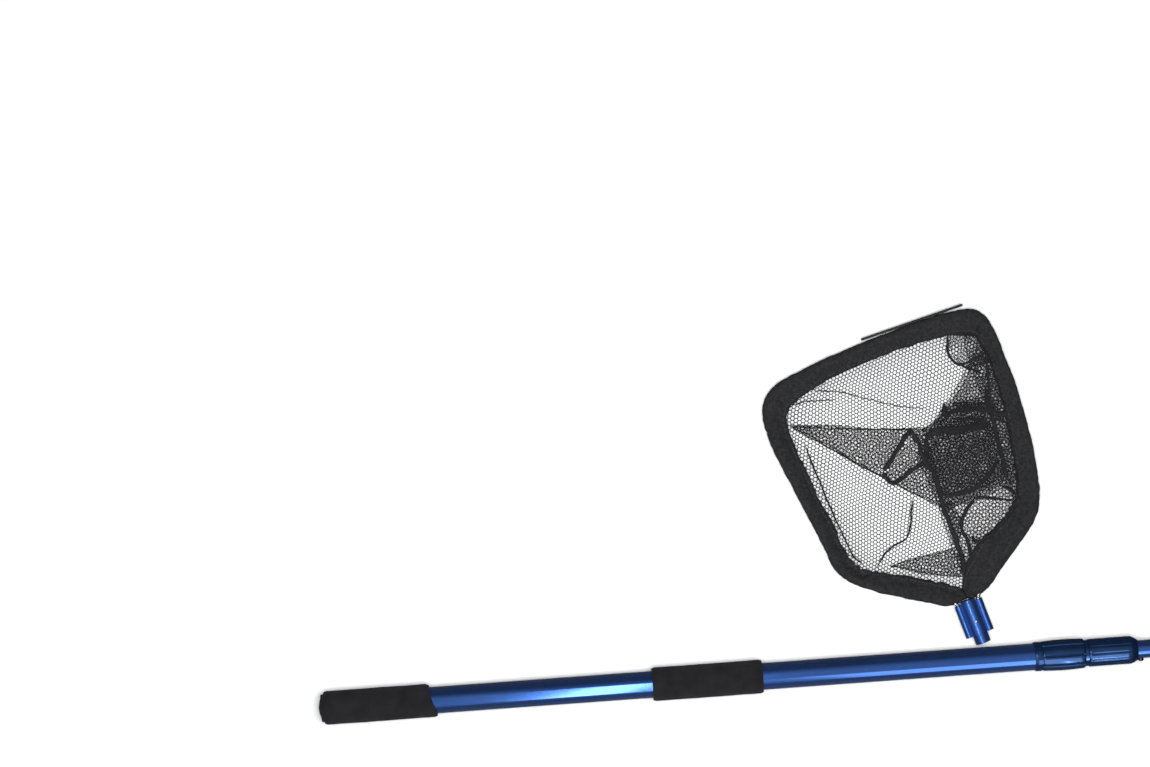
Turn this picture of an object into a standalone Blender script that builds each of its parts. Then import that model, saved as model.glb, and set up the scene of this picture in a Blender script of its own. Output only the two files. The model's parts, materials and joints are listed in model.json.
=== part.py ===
"""Pond and pool skimmer net: a telescopic pole with twist locks, and a bagged net head beside it.

Units are metres, +Z is up and the object lies on the plane z = 0. The pole lies along +X,
collapsed, on its two foam grips. The net head lies beside it with its mouth up. A distance along
the pole, called a station, counts from the end of the butt grip. A place on the head is a pair
(across, along), counted from the middle of the block's top edge, with along towards the far hem.
"""
import math

import bmesh
import bpy
from mathutils import Matrix

NAME = "leaf_skimmer_net"

# Fits
GAP = 0.0003                       # play between two pieces that touch
MERGE = 0.00001                    # merge distance of the turned shapes
WALL = 0.001                       # wall of the three tubes

# Where the pole and the head lie
GRIP_RADIUS = 0.019
POLE_START_X = -0.4875
POLE_Y = -0.1905
HEAD_STATION = 0.734               # the middle of the block's top edge, along the pole
HEAD_OFFSET = 0.0653               # and out from the pole's axis
HEAD_LEAN = math.radians(16.9)     # from square across the pole, towards the butt
HEAD_Z = 0.010                     # height of the hoop rod and of the socket's axis

# Tubes
OUTER_RADIUS = 0.015
MIDDLE_RADIUS = 0.0125
INNER_RADIUS = 0.010
OUTER_START = 0.006
OUTER_END = 0.812
MIDDLE_START = 0.072
MIDDLE_END = 0.884
INNER_START = 0.106
INNER_END = 0.950
TUBE_STEPS = 40
HIDDEN_STEPS = 24                  # turned pieces that stay inside the tubes

# Grips
BUTT_GRIP_LENGTH = 0.128
MIDDLE_GRIP_START = 0.374
MIDDLE_GRIP_END = 0.4975
GRIP_FLOOR = 0.003                 # foam behind the tube's butt end
GRIP_ROUND = 0.0022
BUTT_DOME = ((0.0, 0.0), (0.0, 0.0110), (0.0010, 0.0148), (0.0035, 0.0174))  # station, radius
BUTT_DOME_END = 0.0080
BUSH_FLANGE = 0.006
BUSH_DEPTH = 0.018
BUSH_WALL = 0.003
PLUG_WALL = 0.002

# Large twist lock, on the end of the outer tube
LARGE_COLLAR_START = 0.802
LARGE_COLLAR_STEP = 0.811
LARGE_COLLAR_END = 0.858
LARGE_RING_RADIUS = 0.0163
LARGE_COLLAR_RADIUS = 0.0170
LARGE_COLLAR_BARREL = 0.0003       # extra radius at the middle of the collar
LARGE_PANELS = 8
LARGE_GROOVE = 0.0008
LARGE_FINGER_START = 0.832
LARGE_FINGER_END = 0.852

# Small twist lock, on the end of the middle tube
SMALL_BODY_START = 0.8583
SMALL_FLANGE_END = 0.8620
SMALL_COLLAR_START = 0.8623
SMALL_COLLAR_NOSE = 0.9107
SMALL_COLLAR_END = 0.9174
SMALL_FLANGE_RADIUS = 0.0145
SMALL_SLEEVE_RADIUS = 0.0136
SMALL_COLLAR_RADIUS = 0.0154
SMALL_NOSE_RADIUS = 0.0120
SMALL_PANELS = 12
SMALL_GROOVE = 0.0006
SMALL_CONE = 0.0015                # cone inside the nose that closes the fingers
SMALL_RIB_START = 0.004            # plain band before the ribs
SMALL_FINGER_START = 0.888
SMALL_FINGER_END = 0.906
SHANK_DEPTH = 0.024                # lock body inside its tube
FINGER_TAPER = 0.0008
LIP = 0.004                        # collar's closed end, ahead of the fingers
SLIT_WIDTH = 0.0014
SLITS = 3                          # each crosses the axis, so it parts two pairs of fingers
CUT_PAST = 0.002                   # how far a cutter goes past the surface
LOCK_LIP_PLAY = 0.0006             # play of a sliding tube in the collar's closed end
EDGE = 0.001                       # chamfer of the collars' ends
RING_EDGE = 0.0005                 # and of the plain ring's tail

# Spring button and tip
BUTTON_STATION = 0.9212
BUTTON_RADIUS = 0.0030
BUTTON_PROUD = 0.0034
BUTTON_DOME = 0.0014
BUTTON_FOOT_RADIUS = 0.0042
BUTTON_FOOT_OUT = 0.0075
BUTTON_FOOT_IN = 0.0063
SPRING_WIDTH = 0.0050
SPRING_THICK = 0.0005
SPRING_BEND_STATION = 0.892
SPRING_BEND_RADIUS = 0.0030
TIP_NOSE_RADIUS = 0.0070
TIP_SHOULDER = 0.003
TIP_EDGE = 0.0015
TIP_END = 0.975

# Block, socket and rivet
BLOCK_LENGTH = 0.0375
BLOCK_RADIUS = 0.0098
LOBE_RADIUS = 0.0043
LOBE_ACROSS = 0.0120
LOBE_BORE_RADIUS = 0.0026
SOCKET_RADIUS = 0.0086
SOCKET_BORE_RADIUS = 0.0074
SOCKET_LOW = -0.0482
SOCKET_HIGH = 0.0030
ARC_STEP = math.radians(12.0)
RIVET_ALONG = -0.0213
RIVET_RADIUS = 0.0011
RIVET_HEAD_RADIUS = 0.0019
RIVET_PROUD = 0.0008

# Hoop, hem and bag. Each outline of the hem is the control polygon of a smooth curve, from the
# block's right side round the mouth and back to its left side.
ROD_RADIUS = 0.0023
ROD_END_ALONG = -0.0330
ROD_EXIT_ALONG = 0.0006            # straight as far as this, just out of the lobe
ROD_SPREAD = 0.0018                # then it turns outwards by this much
ROD_SPREAD_ALONG = 0.0042
ROD_INSET = 0.0060                 # rod's centre to the hem's outer edge
CHANNEL_RADIUS = 0.0030
HEM_OUTER = (
    (0.0170, 0.0000), (0.0640, 0.0310), (0.1000, 0.0550), (0.1180, 0.0760), (0.1295, 0.1220),
    (0.1365, 0.1800), (0.1390, 0.2300), (0.1375, 0.2870), (0.1240, 0.3095), (0.0700, 0.3142),
    (0.0000, 0.3150),
    (-0.0700, 0.3120), (-0.1260, 0.3040), (-0.1455, 0.2750), (-0.1440, 0.2400),
    (-0.1370, 0.1850), (-0.1290, 0.1180), (-0.1250, 0.0770), (-0.0930, 0.0480),
    (-0.0500, 0.0200), (-0.0170, 0.0000),
)
HEM_INNER = (
    (0.0020, 0.0200), (0.0450, 0.0480), (0.0850, 0.0710), (0.0990, 0.0880), (0.1055, 0.1280),
    (0.1145, 0.1790), (0.1195, 0.2270), (0.1180, 0.2680), (0.1070, 0.2820), (0.0620, 0.2895),
    (0.0000, 0.2920),
    (-0.0500, 0.2895), (-0.1040, 0.2800), (-0.1175, 0.2620), (-0.1175, 0.2300),
    (-0.1140, 0.1800), (-0.1085, 0.1250), (-0.1050, 0.0840), (-0.0820, 0.0680),
    (-0.0400, 0.0460), (-0.0020, 0.0200),
)
HEM_MIDDLE_Z = 0.0076
HEM_HALF_HEIGHT = 0.0075
HEM_FULLNESS = 2.5                 # exponent of the sleeve's rounded section
HEM_SIDES = 10
STEPS_PER_SPAN = 2                 # curve points in each span of a control polygon
HEM_PART = 0.01                    # share of a span left open between two lengths of hem
HEM_LENGTHS = (
    ("hem_lower_right", 0.45, 3.0),
    ("hem_right", 3.0, 8.0),
    ("hem_top", 8.0, 13.0),
    ("hem_left", 13.0, 18.0),
    ("hem_lower_left", 18.0, 20.55),
)
STRIP_FROM = (-0.0060, 0.3180)
STRIP_TO = (0.1140, 0.3138)
STRIP_RADIUS = 0.0014
STRIP_Z = 0.0090
BAG_MIDDLE = (0.030, 0.150)        # the point that the bag's heap gathers towards
BAG_FLOOR = 0.0003
BAG_RINGS = ((0.992, 0.0028), (0.80, 0.0050), (0.45, 0.0074), (0.18, 0.0085))


# Scene and materials

def clear_scene():
    """Remove every object that is in the scene."""
    for old in list(bpy.data.objects):
        bpy.data.objects.remove(old, do_unlink=True)


def new_collection(name):
    """Return a new collection that is linked to the scene."""
    collection = bpy.data.collections.new(name)
    bpy.context.scene.collection.children.link(collection)
    return collection


def material(name, colour, roughness, metallic=0.0):
    """Return a Principled material with a plain colour."""
    result = bpy.data.materials.new(name)
    result.use_nodes = True
    shader = result.node_tree.nodes["Principled BSDF"]
    shader.inputs["Base Color"].default_value = (*colour, 1.0)
    shader.inputs["Roughness"].default_value = roughness
    shader.inputs["Metallic"].default_value = metallic
    return result


def blue_anodised(name):
    """Glossy blue anodised aluminium."""
    return material(name, (0.015, 0.075, 0.26), 0.22, 0.85)


def navy_plastic(name):
    """Gloss navy moulded plastic."""
    return material(name, (0.010, 0.022, 0.075), 0.28)


def grey_plastic(name):
    """Plain grey moulded plastic of hidden pieces."""
    return material(name, (0.16, 0.16, 0.17), 0.5)


def black_foam(name):
    """Matt black foam rubber."""
    return material(name, (0.016, 0.016, 0.019), 0.9)


def black_fabric(name):
    """Matt black woven polyester."""
    return material(name, (0.020, 0.020, 0.021), 0.85)


def bright_steel(name):
    """Bright steel."""
    return material(name, (0.62, 0.62, 0.64), 0.25, 1.0)


# Placing and cutting

class Part:
    """The collections of the part, and the two empties that its pieces hang from."""

    def __init__(self):
        self.pieces = new_collection(NAME)
        self.cutters = new_collection(NAME + "_cutters")
        self.pole = self.empty("pole_axis", (POLE_START_X, POLE_Y, GRIP_RADIUS), 0.0)
        head_x = POLE_START_X + HEAD_STATION
        head_y = POLE_Y + HEAD_OFFSET
        self.head = self.empty("head_cross", (head_x, head_y, HEAD_Z), HEAD_LEAN)

    def empty(self, name, location, turn_z):
        """Return an empty that a group of pieces hangs from."""
        result = bpy.data.objects.new(name, None)
        result.location = location
        result.rotation_euler = (0.0, 0.0, turn_z)
        result.empty_display_size = 0.02
        self.pieces.objects.link(result)
        return result

    def add(self, name, data, parent, location=(0.0, 0.0, 0.0), rotation=(0.0, 0.0, 0.0)):
        """Link a mesh or a curve to the part as one named piece."""
        piece = bpy.data.objects.new(name, data)
        piece.parent = parent
        piece.location = location
        piece.rotation_euler = rotation
        self.pieces.objects.link(piece)
        return piece

    def cut(self, piece, name, mesh):
        """Cut a piece with a mesh that shares the piece's place."""
        cutter = bpy.data.objects.new(name, mesh)
        cutter.parent = piece.parent
        cutter.location = piece.location
        cutter.rotation_euler = piece.rotation_euler
        cutter.display_type = "WIRE"
        cutter.hide_render = True
        self.cutters.objects.link(cutter)
        modifier = piece.modifiers.new(name, "BOOLEAN")
        modifier.operation = "DIFFERENCE"
        modifier.solver = "EXACT"
        modifier.object = cutter


ALONG_POLE = (0.0, math.radians(90.0), 0.0)      # turns a piece's own Z along the pole
TOWARDS_BUTTON = (math.radians(90.0), 0.0, 0.0)  # turns it out through the button's hole
ALONG_HEAD = (math.radians(-90.0), 0.0, 0.0)     # turns it along the head


# Shapes

def mesh_from(form, name):
    """Turn a bmesh into a mesh."""
    mesh = bpy.data.meshes.new(name)
    form.to_mesh(mesh)
    form.free()
    return mesh


def shade(mesh, degrees=35.0):
    """Shade a mesh smooth up to an angle."""
    mesh.shade_smooth()
    mesh.set_sharp_from_angle(angle=math.radians(degrees))


def turned(part, name, outer, inner, skin, start=0.0, parent=None, location=None,
           rotation=ALONG_POLE, steps=TUBE_STEPS):
    """Turn a piece round its own Z axis, which lies along the pole unless it is told otherwise.

    outer and inner are (station, radius) pairs with rising stations. They join at both ends into
    one outline, and a side of it that would lie on the axis is left open.
    """
    form = bmesh.new()
    loop = list(reversed(outer)) + list(inner)
    points = [form.verts.new((radius, 0.0, station - start)) for station, radius in loop]
    for first, second in zip(points, points[1:] + points[:1]):
        if first.co.x > 0.0 or second.co.x > 0.0:
            form.edges.new((first, second))
    place = location or (start, 0.0, 0.0)
    piece = part.add(name, mesh_from(form, name), parent or part.pole, place, rotation)
    piece.data.materials.append(skin)
    screw = piece.modifiers.new("turn", "SCREW")
    screw.axis = "Z"
    screw.angle = math.tau
    screw.steps = steps
    screw.render_steps = steps
    screw.use_merge_vertices = True
    screw.merge_threshold = MERGE
    screw.use_smooth_shade = True
    return piece


def rods_mesh(name, places, radius, low, high, sides=12):
    """Return the mesh of rods along Z, one at each (x, y) place."""
    form = bmesh.new()
    for x, y in places:
        made = bmesh.ops.create_cone(form, cap_ends=True, segments=sides, radius1=radius,
                                     radius2=radius, depth=high - low)
        bmesh.ops.translate(form, verts=made["verts"], vec=(x, y, (low + high) / 2.0))
    return mesh_from(form, name)


def box_mesh(name, size, middle):
    """Return the mesh of a box."""
    form = bmesh.new()
    made = bmesh.ops.create_cube(form, size=1.0)["verts"]
    bmesh.ops.scale(form, verts=made, vec=size)
    bmesh.ops.translate(form, verts=made, vec=middle)
    return mesh_from(form, name)


def arc(middle_x, radius, first, last):
    """Return points on a circle in the XY plane, from one angle to another."""
    count = max(2, math.ceil(abs(last - first) / ARC_STEP))
    angles = [first + (last - first) * i / count for i in range(count + 1)]
    return [(middle_x + radius * math.cos(a), radius * math.sin(a)) for a in angles]


def circle(middle_x, radius):
    """Return the points of a whole circle, clockwise."""
    return arc(middle_x, radius, math.tau, 0.0)[:-1]


def flat_curve(name, loops, half_depth):
    """Return a filled 2D curve of closed straight-sided loops, extruded both ways."""
    curve = bpy.data.curves.new(name, "CURVE")
    curve.dimensions = "2D"
    curve.fill_mode = "BOTH"
    curve.extrude = half_depth
    for loop in loops:
        spline = curve.splines.new("POLY")
        spline.points.add(len(loop) - 1)
        for point, (x, y) in zip(spline.points, loop):
            point.co = (x, y, 0.0, 1.0)
        spline.use_cyclic_u = True
    return curve


def wire(name, points, radius):
    """Return a round wire with filled ends along a list of points."""
    curve = bpy.data.curves.new(name, "CURVE")
    curve.dimensions = "3D"
    curve.bevel_depth = radius
    curve.bevel_resolution = 2
    curve.use_fill_caps = True
    spline = curve.splines.new("POLY")
    spline.points.add(len(points) - 1)
    for point, place in zip(spline.points, points):
        point.co = (*place, 1.0)
    return curve


def curve_mesh(name, curve):
    """Return a curve's welded mesh, and remove the curve."""
    carrier = bpy.data.objects.new(name, curve)
    bpy.context.scene.collection.objects.link(carrier)
    ready = carrier.evaluated_get(bpy.context.evaluated_depsgraph_get())
    mesh = bpy.data.meshes.new_from_object(ready)
    bpy.data.objects.remove(carrier, do_unlink=True)
    bpy.data.curves.remove(curve)
    form = bmesh.new()
    form.from_mesh(mesh)
    bmesh.ops.remove_doubles(form, verts=form.verts, dist=MERGE)
    form.to_mesh(mesh)
    form.free()
    return mesh


def skin_rings(form, rings):
    """Join rings of points into a tube, and return its rings of vertices."""
    made = [[form.verts.new(point) for point in ring] for ring in rings]
    for low, high in zip(made, made[1:]):
        for i in range(len(low)):
            j = (i + 1) % len(low)
            form.faces.new((low[i], low[j], high[j], high[i]))
    return made


# Pole

def round_end(station, direction):
    """Return the outer points of a grip's softly rounded end, from the end inwards."""
    quarter = [math.radians(90.0) * i / 3 for i in range(4)]
    return [
        (station + direction * GRIP_ROUND * (1.0 - math.cos(a)),
         GRIP_RADIUS - GRIP_ROUND * (1.0 - math.sin(a)))
        for a in quarter
    ]


def make_grips(part):
    """Foam sleeves on the outer tube. The butt sleeve is closed behind the tube's end."""
    bore = OUTER_RADIUS + GAP
    domed = [*BUTT_DOME, (BUTT_DOME_END, GRIP_RADIUS)]
    outer = domed + list(reversed(round_end(BUTT_GRIP_LENGTH, -1.0)))
    inner = [(GRIP_FLOOR, 0.0), (GRIP_FLOOR, bore), (BUTT_GRIP_LENGTH, bore)]
    turned(part, "butt_grip", outer, inner, black_foam("butt_grip_foam"), steps=32)
    outer = round_end(MIDDLE_GRIP_START, 1.0) + list(reversed(round_end(MIDDLE_GRIP_END, -1.0)))
    inner = [(MIDDLE_GRIP_START, bore), (MIDDLE_GRIP_END, bore)]
    turned(part, "middle_grip", outer, inner, black_foam("middle_grip_foam"),
           start=MIDDLE_GRIP_START, steps=32)


def make_tube(part, name, start, end, radius):
    """A drawn aluminium tube."""
    outer = [(start, radius), (end, radius)]
    inner = [(start, radius - WALL), (end, radius - WALL)]
    return turned(part, name, outer, inner, blue_anodised(name + "_metal"), start=start)


def make_bush(part, name, tube_start, bore, flange):
    """A guide bush, pushed into the tail of a sliding tube. Its flange runs in the tube outside."""
    face = tube_start - GAP
    outer = [(face - BUSH_FLANGE, flange), (face, flange), (face, bore - GAP),
             (tube_start + BUSH_DEPTH, bore - GAP)]
    inner = [(face - BUSH_FLANGE, bore - BUSH_WALL), (tube_start + BUSH_DEPTH, bore - BUSH_WALL)]
    turned(part, name, outer, inner, grey_plastic(name + "_plastic"), start=tube_start,
           steps=HIDDEN_STEPS)


def make_butt_plug(part):
    """A cup-shaped plug that closes the outer tube's butt behind the foam."""
    back = GRIP_FLOOR + GAP
    face = OUTER_START - GAP
    spigot = OUTER_RADIUS - WALL - GAP
    outer = [(back, 0.0), (back, OUTER_RADIUS), (face, OUTER_RADIUS), (face, spigot),
             (OUTER_START + BUSH_DEPTH, spigot)]
    inner = [(face, 0.0), (face, spigot - PLUG_WALL),
             (OUTER_START + BUSH_DEPTH, spigot - PLUG_WALL)]
    turned(part, "butt_plug", outer, inner, grey_plastic("butt_plug_plastic"),
           start=OUTER_START, steps=HIDDEN_STEPS)


def slit_fingers(part, body, start, low, high, reach):
    """Saw slits across a lock body, so that its end becomes a ring of fingers."""
    for i in range(SLITS):
        size = (2.0 * reach, SLIT_WIDTH, high - low)
        mesh = box_mesh("slit", size, (0.0, 0.0, (low + high) / 2.0 - start))
        mesh.transform(turn_about_z(math.pi * (i + 0.5) / SLITS))
        part.cut(body, f"{body.name}_slit_{i}", mesh)


def turn_about_z(angle):
    """Return the matrix of a turn about Z."""
    return Matrix.Rotation(angle, 4, "Z")


def make_large_lock(part):
    """The outer tube's collet body, and the panelled collar that closes it."""
    bore = MIDDLE_RADIUS + GAP
    shank = OUTER_RADIUS - WALL - GAP
    face = OUTER_END + GAP
    outer = [(OUTER_END - SHANK_DEPTH, shank), (face, shank), (face, OUTER_RADIUS),
             (LARGE_FINGER_START, OUTER_RADIUS), (LARGE_FINGER_START, OUTER_RADIUS - GAP),
             (LARGE_FINGER_END, OUTER_RADIUS - FINGER_TAPER)]
    inner = [(OUTER_END - SHANK_DEPTH, bore), (LARGE_FINGER_END, bore)]
    body = turned(part, "large_lock_body", outer, inner, grey_plastic("large_lock_plastic"),
                  start=OUTER_END)
    slit_fingers(part, body, OUTER_END, LARGE_FINGER_START, LARGE_FINGER_END + CUT_PAST,
                 OUTER_RADIUS + CUT_PAST)

    middle = (LARGE_COLLAR_STEP + LARGE_COLLAR_END) / 2.0
    outer = [(LARGE_COLLAR_START, LARGE_RING_RADIUS - RING_EDGE),
             (LARGE_COLLAR_START + EDGE, LARGE_RING_RADIUS),
             (LARGE_COLLAR_STEP, LARGE_RING_RADIUS),
             (LARGE_COLLAR_STEP + RING_EDGE, LARGE_COLLAR_RADIUS),
             (middle, LARGE_COLLAR_RADIUS + LARGE_COLLAR_BARREL),
             (LARGE_COLLAR_END - EDGE, LARGE_COLLAR_RADIUS),
             (LARGE_COLLAR_END, LARGE_COLLAR_RADIUS - EDGE)]
    lip = LARGE_COLLAR_END - LIP
    inner = [(LARGE_COLLAR_START, OUTER_RADIUS + GAP), (lip, OUTER_RADIUS + GAP),
             (lip, MIDDLE_RADIUS + LOCK_LIP_PLAY),
             (LARGE_COLLAR_END, MIDDLE_RADIUS + LOCK_LIP_PLAY)]
    collar = turned(part, "large_lock_collar", outer, inner, navy_plastic("large_collar_gloss"),
                    start=LARGE_COLLAR_START)
    cut_grooves(part, collar, LARGE_COLLAR_START, LARGE_PANELS,
                LARGE_COLLAR_RADIUS + LARGE_COLLAR_BARREL, LARGE_GROOVE,
                LARGE_COLLAR_STEP - GAP, LARGE_COLLAR_END + CUT_PAST)


def cut_grooves(part, collar, start, count, radius, groove, low, high):
    """Cut straight grooves along a collar, so that raised panels stay between them."""
    places = [
        (radius * math.cos(math.tau * i / count), radius * math.sin(math.tau * i / count))
        for i in range(count)
    ]
    mesh = rods_mesh(collar.name + "_grooves", places, groove, low - start, high - start, 8)
    part.cut(collar, collar.name + "_grooves", mesh)


def make_small_lock(part):
    """The middle tube's collet body, and the ribbed collar that closes it."""
    bore = INNER_RADIUS + GAP
    shank = MIDDLE_RADIUS - WALL - GAP
    sleeve = MIDDLE_RADIUS + GAP
    face = MIDDLE_END + GAP
    finger = SMALL_SLEEVE_RADIUS - GAP
    outer = [(SMALL_BODY_START, SMALL_FLANGE_RADIUS), (SMALL_FLANGE_END, SMALL_FLANGE_RADIUS),
             (SMALL_FLANGE_END, SMALL_SLEEVE_RADIUS), (SMALL_FINGER_START, SMALL_SLEEVE_RADIUS),
             (SMALL_FINGER_START, finger), (SMALL_FINGER_END, finger - FINGER_TAPER)]
    inner = [(SMALL_BODY_START, sleeve), (face, sleeve), (face, shank),
             (MIDDLE_END - SHANK_DEPTH, shank), (MIDDLE_END - SHANK_DEPTH, bore),
             (SMALL_FINGER_END, bore)]
    body = turned(part, "small_lock_body", outer, inner, navy_plastic("small_lock_plastic"),
                  start=MIDDLE_END)
    slit_fingers(part, body, MIDDLE_END, SMALL_FINGER_START, SMALL_FINGER_END + CUT_PAST,
                 SMALL_SLEEVE_RADIUS + CUT_PAST)

    outer = [(SMALL_COLLAR_START, SMALL_COLLAR_RADIUS - RING_EDGE),
             (SMALL_COLLAR_START + EDGE, SMALL_COLLAR_RADIUS),
             (SMALL_COLLAR_NOSE, SMALL_COLLAR_RADIUS),
             (SMALL_COLLAR_END, SMALL_NOSE_RADIUS)]
    lip = SMALL_COLLAR_NOSE - SMALL_CONE
    inner = [(SMALL_COLLAR_START, SMALL_SLEEVE_RADIUS + GAP), (lip, SMALL_SLEEVE_RADIUS + GAP),
             (SMALL_COLLAR_NOSE, INNER_RADIUS + LOCK_LIP_PLAY),
             (SMALL_COLLAR_END, INNER_RADIUS + LOCK_LIP_PLAY)]
    collar = turned(part, "small_lock_collar", outer, inner, navy_plastic("small_collar_gloss"),
                    start=SMALL_COLLAR_START)
    cut_grooves(part, collar, SMALL_COLLAR_START, SMALL_PANELS, SMALL_COLLAR_RADIUS,
                SMALL_GROOVE, SMALL_COLLAR_START + SMALL_RIB_START, SMALL_COLLAR_END + CUT_PAST)


def make_spring_button(part, inner_tube):
    """A domed button in the inner tube's wall, and the folded leaf spring that holds it out."""
    top = INNER_RADIUS + BUTTON_PROUD
    outer = [(BUTTON_FOOT_IN, 0.0), (BUTTON_FOOT_IN, BUTTON_FOOT_RADIUS),
             (BUTTON_FOOT_OUT, BUTTON_FOOT_RADIUS), (BUTTON_FOOT_OUT, BUTTON_RADIUS),
             (top - BUTTON_DOME, BUTTON_RADIUS),
             (top - BUTTON_DOME * 0.3, BUTTON_RADIUS * 0.75),
             (top, BUTTON_RADIUS * 0.35), (top, 0.0)]
    turned(part, "snap_button", outer, [], bright_steel("snap_button_steel"),
           location=(BUTTON_STATION, 0.0, 0.0), rotation=TOWARDS_BUTTON, steps=20)
    hole = rods_mesh("hole", [(0.0, 0.0)], BUTTON_RADIUS + GAP, BUTTON_FOOT_IN,
                     INNER_RADIUS + CUT_PAST, 20)
    hole.transform(turn_about_x(TOWARDS_BUTTON[0]))
    hole.transform(shift_x(BUTTON_STATION - INNER_START))
    hole.transform(turn_about_y(-ALONG_POLE[1]))
    part.cut(inner_tube, "button_hole", hole)

    leg = BUTTON_FOOT_IN - GAP - SPRING_THICK
    bend = [math.radians(90.0 + 180.0 * i / 6) for i in range(7)]
    path = [(BUTTON_STATION + BUTTON_RADIUS, -leg), (BUTTON_STATION - BUTTON_FOOT_RADIUS, -leg)]
    path += [(SPRING_BEND_STATION + SPRING_BEND_RADIUS * math.cos(a),
              -SPRING_BEND_RADIUS * math.sin(a)) for a in bend]
    path += [(BUTTON_STATION + BUTTON_RADIUS, leg)]
    form = bmesh.new()
    points = [form.verts.new((x, y, -SPRING_WIDTH / 2.0)) for x, y in path]
    edges = [form.edges.new(pair) for pair in zip(points, points[1:])]
    made = bmesh.ops.extrude_edge_only(form, edges=edges)["geom"]
    moved = [item for item in made if isinstance(item, bmesh.types.BMVert)]
    bmesh.ops.translate(form, verts=moved, vec=(0.0, 0.0, SPRING_WIDTH))
    spring = part.add("button_spring", mesh_from(form, "button_spring"), part.pole)
    spring.data.materials.append(bright_steel("button_spring_steel"))
    solidify = spring.modifiers.new("thickness", "SOLIDIFY")
    solidify.thickness = SPRING_THICK
    solidify.offset = 0.0


def turn_about_x(angle):
    """Return the matrix of a turn about X."""
    return Matrix.Rotation(angle, 4, "X")


def turn_about_y(angle):
    """Return the matrix of a turn about Y."""
    return Matrix.Rotation(angle, 4, "Y")


def shift_x(distance):
    """Return the matrix of a move along X."""
    return Matrix.Translation((distance, 0.0, 0.0))


def make_tip_plug(part):
    """The plug in the inner tube's end, whose nose goes into the head's socket."""
    spigot = INNER_RADIUS - WALL - GAP
    face = INNER_END + GAP
    shoulder = face + TIP_SHOULDER
    tail = INNER_END - BUSH_DEPTH
    outer = [(tail, 0.0), (tail, spigot), (face, spigot), (face, INNER_RADIUS),
             (shoulder, INNER_RADIUS), (shoulder, TIP_NOSE_RADIUS),
             (TIP_END - TIP_EDGE, TIP_NOSE_RADIUS), (TIP_END, TIP_NOSE_RADIUS - TIP_EDGE),
             (TIP_END, 0.0)]
    turned(part, "tip_plug", outer, [], grey_plastic("tip_plug_plastic"), start=INNER_END,
           steps=32)


def make_pole(part):
    """All pieces of the telescopic pole."""
    make_grips(part)
    make_butt_plug(part)
    make_tube(part, "outer_tube", OUTER_START, OUTER_END, OUTER_RADIUS)
    make_tube(part, "middle_tube", MIDDLE_START, MIDDLE_END, MIDDLE_RADIUS)
    inner_tube = make_tube(part, "inner_tube", INNER_START, INNER_END, INNER_RADIUS)
    make_bush(part, "middle_tube_bush", MIDDLE_START, MIDDLE_RADIUS - WALL,
              OUTER_RADIUS - WALL - GAP)
    make_bush(part, "inner_tube_bush", INNER_START, INNER_RADIUS - WALL,
              MIDDLE_RADIUS - WALL - GAP)
    make_large_lock(part)
    make_small_lock(part)
    make_spring_button(part, inner_tube)
    make_tip_plug(part)


# Net head

def block_outline():
    """Return the block's section: a middle barrel with a lobe on each side."""
    reach = (LOBE_ACROSS ** 2 + BLOCK_RADIUS ** 2 - LOBE_RADIUS ** 2) / (2.0 * LOBE_ACROSS)
    rise = math.sqrt(BLOCK_RADIUS ** 2 - reach ** 2)
    barrel = math.atan2(rise, reach)
    lobe = math.atan2(rise, reach - LOBE_ACROSS)
    outline = arc(0.0, BLOCK_RADIUS, barrel, math.pi - barrel)[:-1]
    outline += arc(-LOBE_ACROSS, LOBE_RADIUS, math.pi - lobe, math.pi + lobe)[:-1]
    outline += arc(0.0, BLOCK_RADIUS, math.pi + barrel, math.tau - barrel)[:-1]
    outline += arc(LOBE_ACROSS, LOBE_RADIUS, -lobe, lobe)[:-1]
    return outline


def make_block(part):
    """The extruded block that holds the socket tube and both ends of the hoop."""
    loops = [block_outline(), circle(0.0, SOCKET_RADIUS + GAP)]
    loops += [circle(side * LOBE_ACROSS, LOBE_BORE_RADIUS) for side in (-1.0, 1.0)]
    mesh = curve_mesh("head_block", flat_curve("head_block", loops, BLOCK_LENGTH / 2.0))
    shade(mesh)
    mesh.materials.clear()
    mesh.materials.append(blue_anodised("head_block_metal"))
    block = part.add("head_block", mesh, part.head, (0.0, -BLOCK_LENGTH / 2.0, 0.0), ALONG_HEAD)
    hole = rivet_hole(-RIVET_ALONG - BLOCK_LENGTH / 2.0)
    part.cut(block, "block_rivet_hole", hole)


def rivet_hole(back):
    """Return the cutter of the rivet's hole, back along the head from a piece's own origin."""
    hole = rods_mesh("rivet_hole", [(0.0, 0.0)], RIVET_RADIUS + GAP,
                     SOCKET_BORE_RADIUS - CUT_PAST, BLOCK_RADIUS + CUT_PAST)
    hole.transform(turn_about_x(-ALONG_HEAD[0]))
    hole.transform(shift_z(-back))
    return hole


def shift_z(distance):
    """Return the matrix of a move along Z."""
    return Matrix.Translation((0.0, 0.0, distance))


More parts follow.
